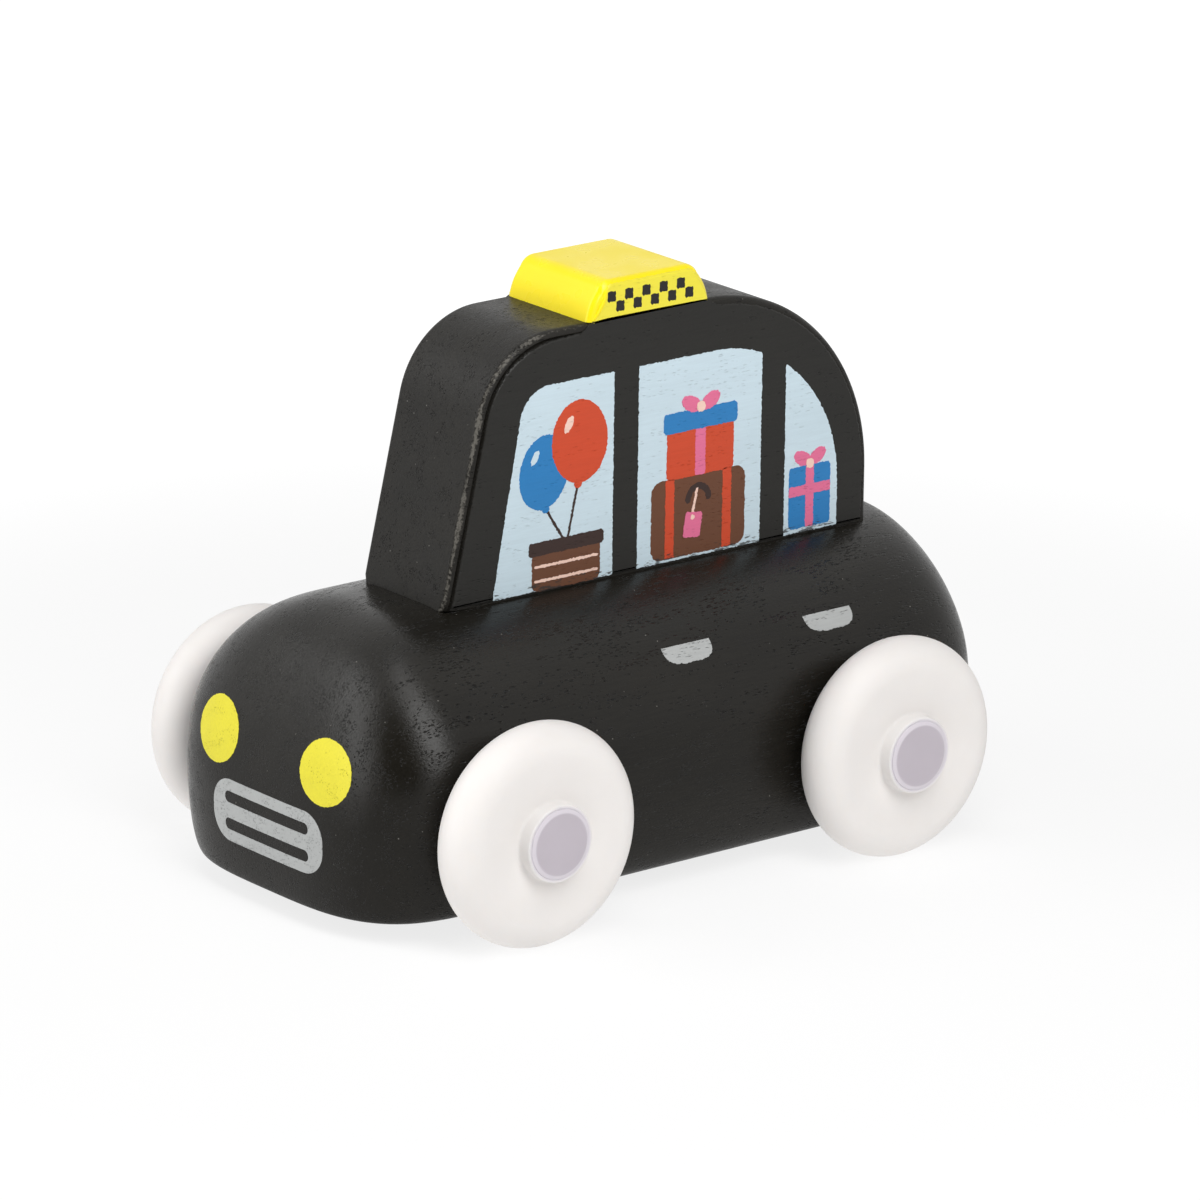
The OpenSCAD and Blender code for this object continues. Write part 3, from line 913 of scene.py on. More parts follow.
def wood_finish(
    name, rgb, pores, pore_tone, tone_change, roughness, depth, gloss=0.25, specks=0.0, rubbed=None, foot=0.0
):
    """Paint or ink on wood: grain tones, sunk pores of another tone and, if asked for, lighter rims that are
    rub marks and a painted highlight, pale specks that are partly painted glints, and scuffs up to a height
    above the film's foot."""
    material, graph, shader, place = start_material(name)
    shader.inputs["Specular IOR Level"].default_value = gloss
    if foot:
        height = graph.add("ShaderNodeSeparateXYZ", {0: place}).outputs[2]
        near = graph.span(height, FILM_LOW.z, FILM_LOW.z + foot, 1.0, 0.0)
        pores = graph.plus(pores, near, PORE_FOOT)
    grain = graph.group("Wood Grain", build_wood_grain, place=place, pore_share=pores)
    tone = graph.plus(graph.times(grain["Fibre"], 0.6), grain["Broad"], 0.4)
    base = graph.two_tone(graph.spread(tone), rgb, tone_change)
    base = graph.mix(graph.times(grain["Pores"], PORE_COVER), base, opaque(rgb, pore_tone))
    shine = graph.spread(grain["Fine"], roughness - FINE_DULL, roughness + FINE_DULL)
    shine = graph.plus(shine, grain["Pores"], PORE_DULL)
    shine = graph.plus(shine, graph.span(grain["Broad"], 0.35, 0.65, -BROAD_DULL, BROAD_DULL))
    if rubbed:
        # Lighter paint on the rims: partly rub marks, partly a painted highlight.
        wear_and_highlight = graph.group("Rubbed Edge", build_rubbed_edge_and_highlight, place=place, mark=graph.mark())["Wear"]
        base = graph.mix(wear_and_highlight, base, opaque(rubbed))
        shine = graph.plus(shine, wear_and_highlight, RUB_AND_HIGHLIGHT_DULL)
    if specks:
        # Pale specks: partly bare wood, partly painted glints.
        dots = graph.group("Specks", build_specks, place=place, per_metre=SPECK_SPOTS, share=specks)
        base = graph.mix(graph.times(dots["Specks"], SPECK_COVER), base, opaque(SPECK_AND_GLINT_TONE))
    if foot:
        streaks = graph.noise(graph.scale(place, SCUFF_SPOTS), detail=3.0, roughness=0.6)
        scuffed = graph.span(graph.plus(streaks, near, SCUFF_FOOT), 0.78, 0.86)
        base = graph.mix(graph.times(scuffed, SCUFF_COVER), base, opaque(SCUFF_TONE))
    finish_material(graph, shader, base, shine, grain["Relief"], depth)
    return material


# Relief of plastic skin and glossy paint, and how far light spreads in the plastic, by colour
SKIN_DEPTH = 0.004 * MM
GLOW_REACH = 2 * MM
GLOW_COLOURS = (1.0, 0.9, 0.8)


def start_mottled(name, rgb, change, spots, gloss):
    """A new material's graph and shader, its mottle with so many spots per metre, and its cloudy colour."""
    material, graph, shader, place = start_material(name)
    shader.inputs["Specular IOR Level"].default_value = gloss
    mottle = graph.group("Mottle", build_mottle, place=place, cloud_per_metre=spots)
    return material, graph, shader, mottle, graph.two_tone(graph.spread(mottle["Cloud"]), rgb, change)


def plastic_finish(name, rgb, roughness, change, glow, marked):
    """Moulded plastic: cloudy tone, fine skin and a little light let through. A marked colour takes over
    where the mark is high."""
    material, graph, shader, mottle, base = start_mottled(name, rgb, change, spots=160.0, gloss=0.3)
    base = graph.mix(graph.mark(), base, opaque(marked))
    shine = graph.spread(mottle["Skin"], roughness - 0.05, roughness + 0.05)
    shader.inputs["Subsurface Weight"].default_value = glow
    shader.inputs["Subsurface Radius"].default_value = GLOW_COLOURS
    shader.inputs["Subsurface Scale"].default_value = GLOW_REACH
    finish_material(graph, shader, base, shine, mottle["Skin"], SKIN_DEPTH)
    return material


def gloss_finish(name, rgb, roughness, change):
    """Thick glossy paint: an uneven coat with a cloudy tone."""
    material, graph, shader, mottle, base = start_mottled(name, rgb, change, spots=200.0, gloss=0.4)
    shine = graph.spread(mottle["Cloud"], roughness + 0.06, roughness - 0.06)
    finish_material(graph, shader, base, shine, mottle["Cloud"], SKIN_DEPTH)
    return material


def surface_normals(point_at, first, second, step=0.02 * MM):
    """Unit normals of a wall given as a function of two coordinates, from its slopes over a small step."""
    along_first = point_at(first + step, second) - point_at(first - step, second)
    along_second = point_at(first, second + step) - point_at(first, second - step)
    normal = np.cross(along_first, along_second)
    return normal / np.linalg.norm(normal, axis=-1, keepdims=True)


# How far a print stands out of the hull's paint, and how deep its hidden back lies
PRINT_LIFT = 0.03 * MM
PRINT_DEPTH = 0.06 * MM
# Headlamps: steps of the grid, slant of the printing, and where and how much the rim is uneven
LAMP_STEPS = 33
LAMP_SLANT = 0.085
LAMP_RIM = 0.999
LAMP_UNEVEN = 0.006
# Grille: half length, half height and distance from the middle of its slots, and the radius of its corners
SLOT_HALF = 7.7 * MM
SLOT_RADIUS = 0.68 * MM
SLOT_RISE = 1.6 * MM
GRILLE_CORNER = 3.2 * MM
# Door handles: places along X, fullness of the lower edge, reach of the grid's ends and unevenness
HANDLE_PLACES = (-0.12 * MM, -20.9 * MM)
HANDLE_POWER = 3.1
HANDLE_ENDS = 0.996
HANDLE_UNEVEN = 0.025


def nose_print(y, z, quads, hull, material):
    """A print on the nose, from points given by y and z."""

    def place(across, height):
        return np.stack([nose_wall(across, height, hull), across, height], -1)

    normals = surface_normals(place, y, z)
    return sheet_part(place(y, z), quads, normals, PRINT_LIFT, PRINT_DEPTH, material)


def side_print(x, z, side, quads, hull, material):
    """A print on the hull's left or right wall, from points given by x and z."""

    def place(run, height):
        return np.stack([run, side * side_wall(run, height, hull), height], -1)

    normals = -side * surface_normals(place, x, z)
    return sheet_part(place(x, z), quads, normals, PRINT_LIFT, PRINT_DEPTH, material)


def disc_grid(steps):
    """A square grid bent to a unit disc: u * sqrt(1 - v^2 / 2) and v * sqrt(1 - u^2 / 2)."""
    u, v = np.meshgrid(np.linspace(-1, 1, steps), np.linspace(-1, 1, steps))
    return (u * np.sqrt(1 - v**2 / 2)).ravel(), (v * np.sqrt(1 - u**2 / 2)).ravel()


def lamp_part(side, hull, prints, material):
    """One headlamp: an ellipse laid on the nose, a little slanted by the printing."""
    u, v = disc_grid(LAMP_STEPS)
    edge = np.hypot(u, v) > LAMP_RIM
    notch = 1 + edge * np.random.default_rng(11).normal(0, LAMP_UNEVEN, len(u))
    u, v = u * notch, v * notch
    y = side * prints.lamp_apart + prints.lamp_wide * u - LAMP_SLANT * prints.lamp_tall * v
    z = prints.lamp_height + prints.lamp_tall * v
    return nose_print(y, z, grid_quads(LAMP_STEPS, LAMP_STEPS), hull, material)


def grille_part(hull, prints, material, end_count=41, level_count=31, ring_count=5):
    """The grille: a rounded plate with two level slots, as two rings that share the plate's middle line.

    A ring runs from the slot's outline to the outline of its half of the plate.
    """
    straight = SLOT_HALF - SLOT_RADIUS
    wide = prints.grille_wide
    tall = prints.grille_tall
    corner = arc((wide - GRILLE_CORNER, tall - GRILLE_CORNER), GRILLE_CORNER, 0, pi / 2, 25)
    outer_end = along(chain([(straight, 0), (wide, 0)], corner), end_count)
    inner_end = arc((straight, SLOT_RISE), SLOT_RADIUS, -pi / 2, pi / 2, end_count)

    def level(start, height):
        return np.linspace((start, height), (-start, height), level_count)[1:-1]

    def ring(end, top, foot):
        return chain(end, level(end[-1, 0], top), end[::-1] * (-1, 1), level(-straight, foot))

    outer = ring(outer_end, tall, 0)
    inner = ring(inner_end, SLOT_RISE + SLOT_RADIUS, SLOT_RISE - SLOT_RADIUS)
    share = np.linspace(0, 1, ring_count)[:, None, None]
    upper = (inner * (1 - share) + outer * share).reshape(-1, 2)
    quads = grid_quads(ring_count, len(inner), close_columns=True)
    both = chain(upper, upper * (1, -1))
    both_quads = np.concatenate([quads[:, ::-1], quads + len(upper)])
    across = prints.print_shift + both[:, 0]
    return nose_print(across, prints.grille_height + both[:, 1], both_quads, hull, material)


def handle_part(middle, side, hull, prints, material, columns=41, rows=9):
    """One door handle: straight along the top, and below it the superellipse drop * (1 - |u|^p)^(1/p)."""
    u = np.sin(np.linspace(-pi / 2, pi / 2, columns)) * HANDLE_ENDS
    drop = prints.handle_drop * superellipse(np.abs(u), HANDLE_POWER)
    drop *= 1 + np.random.default_rng(7).normal(0, HANDLE_UNEVEN, columns)
    share = np.linspace(0, 1, rows)[:, None]
    x = middle + prints.handle_wide * (u[None, :] + 0 * share)
    z = prints.handle_top - drop[None, :] * share
    return side_print(x.ravel(), z.ravel(), side, grid_quads(rows, columns), hull, material)


def rounded_box(middle, half_wide, half_tall, radius, lean=0.0):
    """Outline of a rounded rectangle, leaning back by an angle."""
    across = half_wide - radius
    up = half_tall - radius
    corners = ((across, up), (-across, up), (-across, -up), (across, -up))
    arcs = [arc(corner, radius, k * pi / 2, (k + 1) * pi / 2, 9) for k, corner in enumerate(corners)]
    return turned(chain(*arcs), lean) + np.asarray(middle)


def card(x, z, half_wide, half_tall, radius, lean=0.0):
    """Outline of a rounded rectangle, from millimetres and degrees."""
    return rounded_box((x * MM, z * MM), half_wide * MM, half_tall * MM, radius * MM, radians(lean))


def oval(x, z, half_wide, half_tall, lean=0.0):
    """Outline of a leaning ellipse, from millimetres and degrees."""
    turn = np.linspace(0, 2 * pi, 48, endpoint=False)
    flat = np.stack([half_wide * np.cos(turn), half_tall * np.sin(turn)], -1)
    return (turned(flat, radians(lean)) + (x, z)) * MM


def line(first_x, first_z, last_x, last_z, half):
    """Outline of a straight thick line, from millimetres."""
    return stroke(np.array([(first_x, first_z), (last_x, last_z)]) * MM, half * MM, 12)


def hoop(x, z, radius, half):
    """Outline of a thick half circle, from millimetres."""
    return stroke(arc((x * MM, z * MM), radius * MM, 0, pi, 25), half * MM)


# The design in the windows, as it is printed: outline, its sizes, layer and ink
WINDOW_DESIGN = (
    # Balloons
    (line, (11.9, 43.2, 8.9, 38.6, 0.17), 2, "string_brown"),
    (line, (7.2, 45.4, 8.7, 38.6, 0.17), 2, "string_brown"),
    (oval, (12.1, 47.4, 3.5, 4.4, 10), 3, "balloon_blue"),
    (oval, (13.4, 49.3, 0.42, 0.95, 32), 4, "glass_blue"),
    (oval, (7.0, 50.2, 4.0, 4.9, -6), 4, "balloon_red"),
    (oval, (8.6, 52.4, 0.5, 1.1, 30), 5, "trim_peach"),
    (oval, (7.2, 45.2, 0.6, 0.45), 5, "balloon_red"),
    (oval, (11.8, 43.0, 0.55, 0.42), 4, "balloon_blue"),
    # Basket
    (card, (8.8, 36.0, 4.9, 2.5, 0.9), 3, "case_brown"),
    (card, (8.8, 38.5, 5.4, 0.8, 0.4), 4, "string_brown"),
    (line, (4.4, 34.7, 13.2, 34.7, 0.17), 4, "trim_peach"),
    (line, (4.4, 36.4, 13.2, 36.4, 0.17), 4, "trim_peach"),
    # Suitcase with straps, handle and tag
    (card, (-10.4, 38.6, 6.9, 4.7, 1.4), 3, "case_brown"),
    (card, (-14.6, 38.6, 0.65, 4.7, 0.1), 4, "balloon_red"),
    (card, (-6.2, 38.6, 0.65, 4.7, 0.1), 4, "balloon_red"),
    (hoop, (-10.4, 40.4, 1.5, 0.4), 4, "string_brown"),
    (line, (-10.2, 41.6, -9.6, 38.9, 0.18), 5, "trim_peach"),
    (card, (-9.6, 37.4, 1.25, 1.5, 0.35, 8), 6, "ribbon_pink"),
    (oval, (-9.6, 38.3, 0.3, 0.3), 7, "trim_peach"),
    # Present on the suitcase
    (card, (-10.6, 46.7, 4.9, 3.5, 0.5), 4, "balloon_red"),
    (card, (-10.6, 46.7, 0.75, 3.5, 0.1), 5, "ribbon_pink"),
    (card, (-10.6, 49.9, 5.4, 1.2, 0.5), 6, "balloon_blue"),
    (oval, (-12.0, 51.8, 1.5, 0.9, -26), 7, "ribbon_pink"),
    (oval, (-9.2, 51.8, 1.5, 0.9, 26), 8, "ribbon_pink"),
    (oval, (-10.6, 51.3, 0.65, 0.65), 9, "trim_peach"),
    # Present in the rear window
    (oval, (-28.1, 42.4, 1.4, 0.85, -28), 2, "ribbon_pink"),
    (oval, (-25.9, 42.4, 1.4, 0.85, 28), 3, "ribbon_pink"),
    (card, (-27.0, 37.8, 3.1, 3.7, 0.5), 4, "balloon_blue"),
    (card, (-27.0, 37.8, 0.6, 3.7, 0.1), 5, "ribbon_pink"),
    (card, (-27.0, 38.6, 3.1, 0.6, 0.1), 6, "ribbon_pink"),
    (oval, (-27.0, 41.7, 0.6, 0.6), 7, "trim_peach"),
)
# Windows: foot, lean and upper radius of the front edge, radius and middle of the rear edge, and pillars
FRONT_FOOT = 19.3 * MM
FRONT_LEAN = radians(10.4)
FRONT_ROUND = 4.2 * MM
REAR_ROUND = 18.6 * MM
REAR_MIDDLE = -12.55 * MM
PILLARS = (0.3 * MM, -21.4 * MM)
# The film: depth of its hidden back, thickness of an ink layer, and a black strip below the windows, which
# is a painted shadow along the cabin's join with the hull
FILM_SUNK = 0.3 * MM
INK_LAYER = 0.012 * MM
WINDOW_FOOT_SHADOW = 0.18 * MM
# The film's bridge from cabin to sign: how far it goes past the sign at its foot, and how far it stays
# back at its top in front and behind
BRIDGE_FOOT = 1.5 * MM
BRIDGE_FRONT = 0.9 * MM
BRIDGE_REAR = 0.6 * MM
# The checked band: columns, height above the sign's foot, half size in checks and corner radius
CHECK_COLUMNS = 10
CHECK_RISE = 0.75 * MM
CHECK_HALF = 0.48
CHECK_ROUND = 0.05 * MM
# The paint's lap: distance from the front slope at its ends, bow between them, half width and hidden depth
LAP_INSET = 0.42 * MM
LAP_BOW = 0.5 * MM
LAP_HALF = 0.3 * MM
LAP_SUNK = 0.1 * MM
# A wheel: radii of the hub's lip and of the collar's fillet
HUB_LIP = 0.4 * MM
COLLAR_FILLET = 0.3 * MM
# An axle's end: rings of its face in shares of its radius, the chamfer's drop in shares of its width, and
# the chamfer's softness and marks
FACE_RINGS = np.array((0.3, 0.55, 0.8, 0.95))
CHAMFER_DROP = 0.4
CHAMFER_SOFT = 0.12 * MM
CHAMFER_MARKS = (0.15, 0.8, 1, 1)


def window_outlines(prints, foot):
    """The three windows of one side in X and Z: slanting front edge, level top, round rear edge and two
    pillars."""
    top = prints.window_top
    rear_centre = (REAR_MIDDLE, top - REAR_ROUND)
    half_pillar = prints.pillar_width / 2
    first, second = PILLARS
    bend = lean_centre(FRONT_FOOT, foot, FRONT_LEAN, FRONT_ROUND, top)

    def rear_turn(x):
        return pi - np.arccos((REAR_MIDDLE - x) / REAR_ROUND)

    front = chain(
        [(first + half_pillar, foot), (FRONT_FOOT, foot)],
        arc(bend, FRONT_ROUND, FRONT_LEAN, pi / 2, 17),
        [(first + half_pillar, top)],
    )
    cut = second + half_pillar
    middle = chain(
        [(cut, foot), (first - half_pillar, foot), (first - half_pillar, top)],
        arc(rear_centre, REAR_ROUND, pi / 2, rear_turn(cut), 17),
    )
    start = second - half_pillar
    rear = chain(
        [(REAR_MIDDLE - REAR_ROUND, foot), (start, foot)],
        arc(rear_centre, REAR_ROUND, rear_turn(start), pi, 25),
    )
    return front, middle, rear


def lap_path(sign):
    """Line of the paint's lap in X and Z: it bows in from the front slope by sin(pi * t)^0.8, with t from 0
    at the foot to 1 at the top."""
    t = np.linspace(0, 1, 33)
    inset = LAP_INSET + LAP_BOW * np.sin(pi * t) ** 0.8
    rise = SIGN_HIGH.z - SIGN_LOW.z
    x = SIGN_HIGH.x - t * rise * tan(sign.slope) - inset / cos(sign.slope)
    return np.stack([x, SIGN_LOW.z + t * rise], -1)


def lap_part(side, sign, material):
    """The paint's lap on one side of the sign: a bead along its line, short of foot and top."""
    path = lap_path(sign)[1:-5]
    return bead_part(path, side, FILM_HIGH.y - LAP_SUNK, LAP_HALF, LAP_SUNK + sign.lap_height, material)


def film_parts(side, settings, inks):
    """The printed film on one side: black ground, windows with their design, and the checked sign.

    The film's edge stands back from the rim along the windscreen, and meets the rim where the groove runs
    out. A bridge of film joins cabin and sign. On the left side the sign's print ends at the paint's lap.
    """
    prints = settings.prints
    base = FILM_LOW.z

    def plate(outline, level, ink, soft=0.0):
        high = FILM_HIGH.y + level * INK_LAYER
        return plate_part(outline, side, FILM_LOW.y - FILM_SUNK, high, inks[ink], soft)

    inner = cabin_outline(prints.film_inset, settings.cabin, base)
    outer = cabin_outline(settings.cabin.edge_round, settings.cabin, base)
    sheet = outer + (inner - outer) * run_out(inner[:, :1])
    parts = [plate(sheet, 0, "film_black", prints.film_soft)]
    # The windows start a little above the foot, leaving a black strip as a painted shadow along the hull.
    parts += [plate(window, 1, "glass_blue") for window in window_outlines(prints, base + WINDOW_FOOT_SHADOW)]
    parts += [plate(shape(*sizes), level, ink) for shape, sizes, level, ink in WINDOW_DESIGN]
    overlap = prints.film_soft
    bridge_low = CABIN_HIGH.z - prints.film_inset
    bridge_high = SIGN_LOW.z + overlap
    bridge = chain(
        [(SIGN_LOW.x - BRIDGE_FOOT, bridge_low), (SIGN_HIGH.x + BRIDGE_FOOT, bridge_low)],
        [(SIGN_HIGH.x - BRIDGE_FRONT, bridge_high), (SIGN_LOW.x + BRIDGE_REAR, bridge_high)],
    )
    parts.append(plate(bridge, 0.5, "film_black"))
    label = sign_outline(prints.sign_inset, settings.sign, SIGN_LOW.z - overlap)
    if side == SIDES["left"]:
        lap = lap_path(settings.sign)
        label[:, 0] = np.minimum(label[:, 0], np.interp(label[:, 1], lap[:, 1], lap[:, 0]))
    parts.append(plate(label, 1, "sign_ink", overlap))
    check = settings.sign.check
    half = CHECK_HALF * check
    for column in range(CHECK_COLUMNS):
        x = SIGN_MIDDLE + (column - (CHECK_COLUMNS - 1) / 2) * check
        z = SIGN_LOW.z + CHECK_RISE + (column % 2 + 0.5) * check
        parts.append(plate(rounded_box((x, z), half, half, CHECK_ROUND), 2, "check_ink"))
    return parts


def wheel_profile(wheels, wheel_radius, inner_end, outer_end, axle_end):
    """Closed profile of a wheel as radii, reaches and marks, from the bore's inner mouth round to its outer
    one, with the wheel's ends and the axle's as distances from the middle.

    A soft collar stands around the axle's end, with a fillet at its foot and a round crest. The mark rises
    to 1 where the crest meets the axle.
    """
    rim = wheels.rim_round
    crest = wheel_radius - rim
    middle = outer_end - rim
    hub_face = rim - wheels.dish
    hub_end = middle - inner_end
    hub_flat = wheels.hub_radius - HUB_LIP
    bore = wheels.bore_radius
    wall = wheels.collar_wall
    collar = bore + wall
    collar_end = axle_end - wheels.collar_drop - middle
    slope = wheels.dish / (crest - bore)
    fillet = COLLAR_FILLET
    foot_arc = arc((collar + fillet, hub_face + fillet * (1 + slope)), fillet, 1.5 * pi, pi, 7)
    profile = chain(
        [(bore, -hub_end), (hub_flat, -hub_end)],
        arc((hub_flat, HUB_LIP - hub_end), HUB_LIP, -pi / 2, 0, 5)[1:],
        np.linspace((wheels.hub_radius, -hub_face), (crest, -rim), 5)[:-1],
        arc((crest, 0), rim, -pi / 2, pi / 2, 49),
        np.linspace((crest, rim), foot_arc[0], 9)[1:-1],
        foot_arc,
        arc((collar - wall / 2, collar_end - wall / 2), wall / 2, 0, 0.6 * pi, 9),
        [(bore, collar_end - 0.05 * wall)],
    )
    marks = np.clip((collar - profile[:, 0]) / wall, 0, 1) * (profile[:, 1] > 0)
    return profile[:, 0], middle + profile[:, 1], marks


def axle_profile(wheels, low, high):
    """Profile of an axle from its right end to its left end, with softened chamfers. The mark is 0 on the
    end faces and 1 on chamfers and sides."""
    radius = (high.z - low.z) / 2
    reach = high.y
    soft = CHAMFER_SOFT
    flat = radius - wheels.axle_chamfer
    drop = CHAMFER_DROP * wheels.axle_chamfer
    face = FACE_RINGS * flat
    end = chain(
        np.stack([face, 0 * face], -1),
        [(flat - soft / 2, 0), (flat + soft / 2, soft / 3)],
        [(radius - soft / 2, drop - soft / 3), (radius, drop + soft)],
    )
    marks = np.concatenate([0 * face, CHAMFER_MARKS])
    body = np.linspace(drop + soft, 2 * reach - drop - soft, 25)[1:-1]
    radii = np.concatenate([end[:, 0], np.full(len(body), radius), end[::-1, 0]])
    depth = np.concatenate([end[:, 1], body, 2 * reach - end[::-1, 1]])
    return radii, depth - reach, np.concatenate([marks, np.ones(len(body)), marks[::-1]])


class TOYTAXI_OT_hull(bpy.types.Operator):
    """Builds the rolled-over hull with its two axle bores"""

    bl_idname = "toy_taxi.hull"
    bl_label = "Hull"

    def execute(self, context):
        hull = context.scene.toy_taxi.hull
        look = {"pores": 0.72, "pore_tone": 0.25, "tone_change": 0.2, "roughness": 0.17, "depth": 0.1 * MM}
        paint = wood_finish("hull_paint", hull.paint, **look, gloss=0.23, specks=0.004)
        put_piece("hull", [hull_part(hull, paint)], "body", ("body_block",))
        return {"FINISHED"}


class TOYTAXI_OT_cabin(bpy.types.Operator):
    """Builds the cabin slab with its sanded rims"""

    bl_idname = "toy_taxi.cabin"
    bl_label = "Cabin"

    def execute(self, context):
        cabin = context.scene.toy_taxi.cabin
        look = {"pores": 0.6, "pore_tone": 0.3, "tone_change": 0.4, "roughness": 0.42, "depth": 0.1 * MM}
        paint = wood_finish("cabin_paint", cabin.paint, **look, gloss=0.22, specks=0.01, rubbed=cabin.rubbed)
        groove = (cabin.groove_wide, cabin.groove_deep)
        slab = slab_part(
            lambda inset: cabin_outline(inset, cabin), CABIN_HIGH.y, cabin.edge_round, paint, groove
        )
        round_toes(slab.points, cabin.toe_round)
        put_piece("cabin", [slab], "body", ("cabin_block",))
        return {"FINISHED"}


class TOYTAXI_OT_sign(bpy.types.Operator):
    """Builds the roof sign"""

    bl_idname = "toy_taxi.sign"
    bl_label = "Roof sign"

    def execute(self, context):
        sign = context.scene.toy_taxi.sign
        paint = gloss_finish("sign_paint", sign.paint, roughness=0.3, change=0.015)
        slab = slab_part(lambda inset: sign_outline(inset, sign), SIGN_HIGH.y, sign.edge_round, paint)
        lap = lap_part(SIDES["left"], sign, paint)
        put_piece("sign", [slab, lap], "body", ("roof_sign",))
        return {"FINISHED"}


SIGN_INKS = ("sign_ink", "check_ink")
WINDOW_INKS = (
    "glass_blue", "balloon_red", "balloon_blue", "case_brown", "string_brown", "ribbon_pink", "trim_peach"
)


class TOYTAXI_OT_films(bpy.types.Operator):
    """Builds the printed film on both sides of cabin and sign"""

    bl_idname = "toy_taxi.films"
    bl_label = "Side films"

    def execute(self, context):
        settings = context.scene.toy_taxi
        prints = settings.prints
        look = {"pores": 0.3, "pore_tone": 0.5, "tone_change": 0.12, "roughness": 0.42, "depth": 0.04 * MM}
        inks = {"film_black": wood_finish("film_black", prints.film_black, **look, gloss=0.29)}
        look = {"pores": 0.2, "pore_tone": 0.82, "tone_change": 0.02, "roughness": 0.45, "depth": 0.02 * MM}
        for ink in SIGN_INKS:
            inks[ink] = wood_finish(ink, getattr(prints, ink), **look)
        look = {"pores": 0.4, "pore_tone": 0.8, "tone_change": 0.035, "roughness": 0.45, "depth": 0.03 * MM}
        for ink in WINDOW_INKS:
            inks[ink] = wood_finish(ink, getattr(prints, ink), **look, foot=2.2 * MM)
        for label, side in SIDES.items():
            parts = film_parts(side, settings, inks)
            node = f"side_transfer_{label}"
            put_piece(f"film_{label}", parts, "body", (node,), sharp_angle=60)
        return {"FINISHED"}


class TOYTAXI_OT_prints(bpy.types.Operator):
    """Builds the prints on the hull: headlamps, grille and door handles"""

    bl_idname = "toy_taxi.prints"
    bl_label = "Hull prints"

    def execute(self, context):
        settings = context.scene.toy_taxi
        hull = settings.hull
        prints = settings.prints
        look = {"pores": 0.35, "pore_tone": 0.7, "tone_change": 0.05, "roughness": 0.42, "depth": 0.05 * MM}
        lamp_ink = wood_finish("lamp_ink", prints.lamp_ink, **look)
        look = {"pores": 0.65, "pore_tone": 0.4, "tone_change": 0.05, "roughness": 0.4, "depth": 0.05 * MM}
        silver = wood_finish("silver_ink", prints.silver_ink, **look)
        sides = SIDES.values()
        lamps = [lamp_part(side, hull, prints, lamp_ink) for side in sides]
        put_piece("headlamps", lamps, "body")
        put_piece("grille", [grille_part(hull, prints, silver)], "body")
        handles = [handle_part(x, side, hull, prints, silver) for x in HANDLE_PLACES for side in sides]
        put_piece("door_handles", handles, "body")
        return {"FINISHED"}


class TOYTAXI_OT_wheels(bpy.types.Operator):
    """Builds the four wheels"""

    bl_idname = "toy_taxi.wheels"
    bl_label = "Wheels"

    def execute(self, context):
        wheels = context.scene.toy_taxi.wheels
        look = {"roughness": 0.5, "change": 0.012, "glow": 0.2}
        plastic = plastic_finish("wheel_plastic", wheels.plastic, **look, marked=wheels.axle_side)
        for axle in AXLES:
            axle_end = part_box(f"{axle}_axle")[1].y
            for label, side in SIDES.items():
                node = f"wheel_{axle}_{label}"
                low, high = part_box(node)
                ends = sorted((abs(low.y), abs(high.y)))
                radius, reach, marks = wheel_profile(wheels, (high.z - low.z) / 2, *ends, axle_end)
                wheel = lathe_part(radius, side * reach, axle_line(node), plastic, marks, close=True)
                put_piece(f"{axle}_{label}_wheel", [wheel], f"{axle}_wheelset", (node,))
        return {"FINISHED"}


class TOYTAXI_OT_axles(bpy.types.Operator):
    """Builds the two axles"""

    bl_idname = "toy_taxi.axles"
    bl_label = "Axles"

    def execute(self, context):
        wheels = context.scene.toy_taxi.wheels
        look = {"roughness": 0.4, "change": 0.02, "glow": 0.2}
        plastic = plastic_finish("axle_plastic", wheels.axle_face, **look, marked=wheels.axle_side)
        for axle in AXLES:
            node = f"{axle}_axle"
            radius, reach, marks = axle_profile(wheels, *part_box(node))
            bar = lathe_part(radius, reach, axle_line(node), plastic, marks, steps=128)
            put_piece(f"{axle}_axle_bar", [bar], f"{axle}_wheelset", (node,), sharp_angle=25)
        return {"FINISHED"}


BEECH = linear(214, 176, 128)
DOWELS = ("cabin_dowel_front", "cabin_dowel_rear", "sign_dowel")


class TOYTAXI_OT_dowels(bpy.types.Operator):
    """Gives the three hidden dowels their bare wood"""

    bl_idname = "toy_taxi.dowels"
    bl_label = "Dowels"

    def execute(self, context):
        look = {"pores": 0.3, "pore_tone": 0.7, "tone_change": 0.12, "roughness": 0.6, "depth": 0.03 * MM}
        wood = wood_finish("beech", BEECH, **look)
        for node in DOWELS:
            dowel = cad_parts[node]
            dowel.data.materials.clear()
            dowel.data.materials.append(wood)
        return {"FINISHED"}


# Softboxes: name, azimuth, elevation and roll in degrees, distance, width and height in metres, and the
# setting that holds the radiance
SOFTBOXES = (
    ("key_softbox", 75, 46, 25, 0.6, 0.27, 0.62, "key_light"),
    ("nose_strip", -25, 23, 40, 0.6, 0.22, 0.68, "nose_light"),
    ("top_softbox", 0, 77, 0, 0.7, 0.26, 0.26, "top_light"),
)
SOFTBOX_AIM = Vector((0, 0, 0.03))
# The camera: the point it is placed about, how far its aim lies to the right and above, sensor and range
CAMERA_PIVOT = Vector((1.85, 0, 13)) * MM
CAMERA_RIGHT = 3.456 * MM
CAMERA_UP = 14.88 * MM
SENSOR_WIDTH = 36
CLIP_START = 0.05
CLIP_END = 20
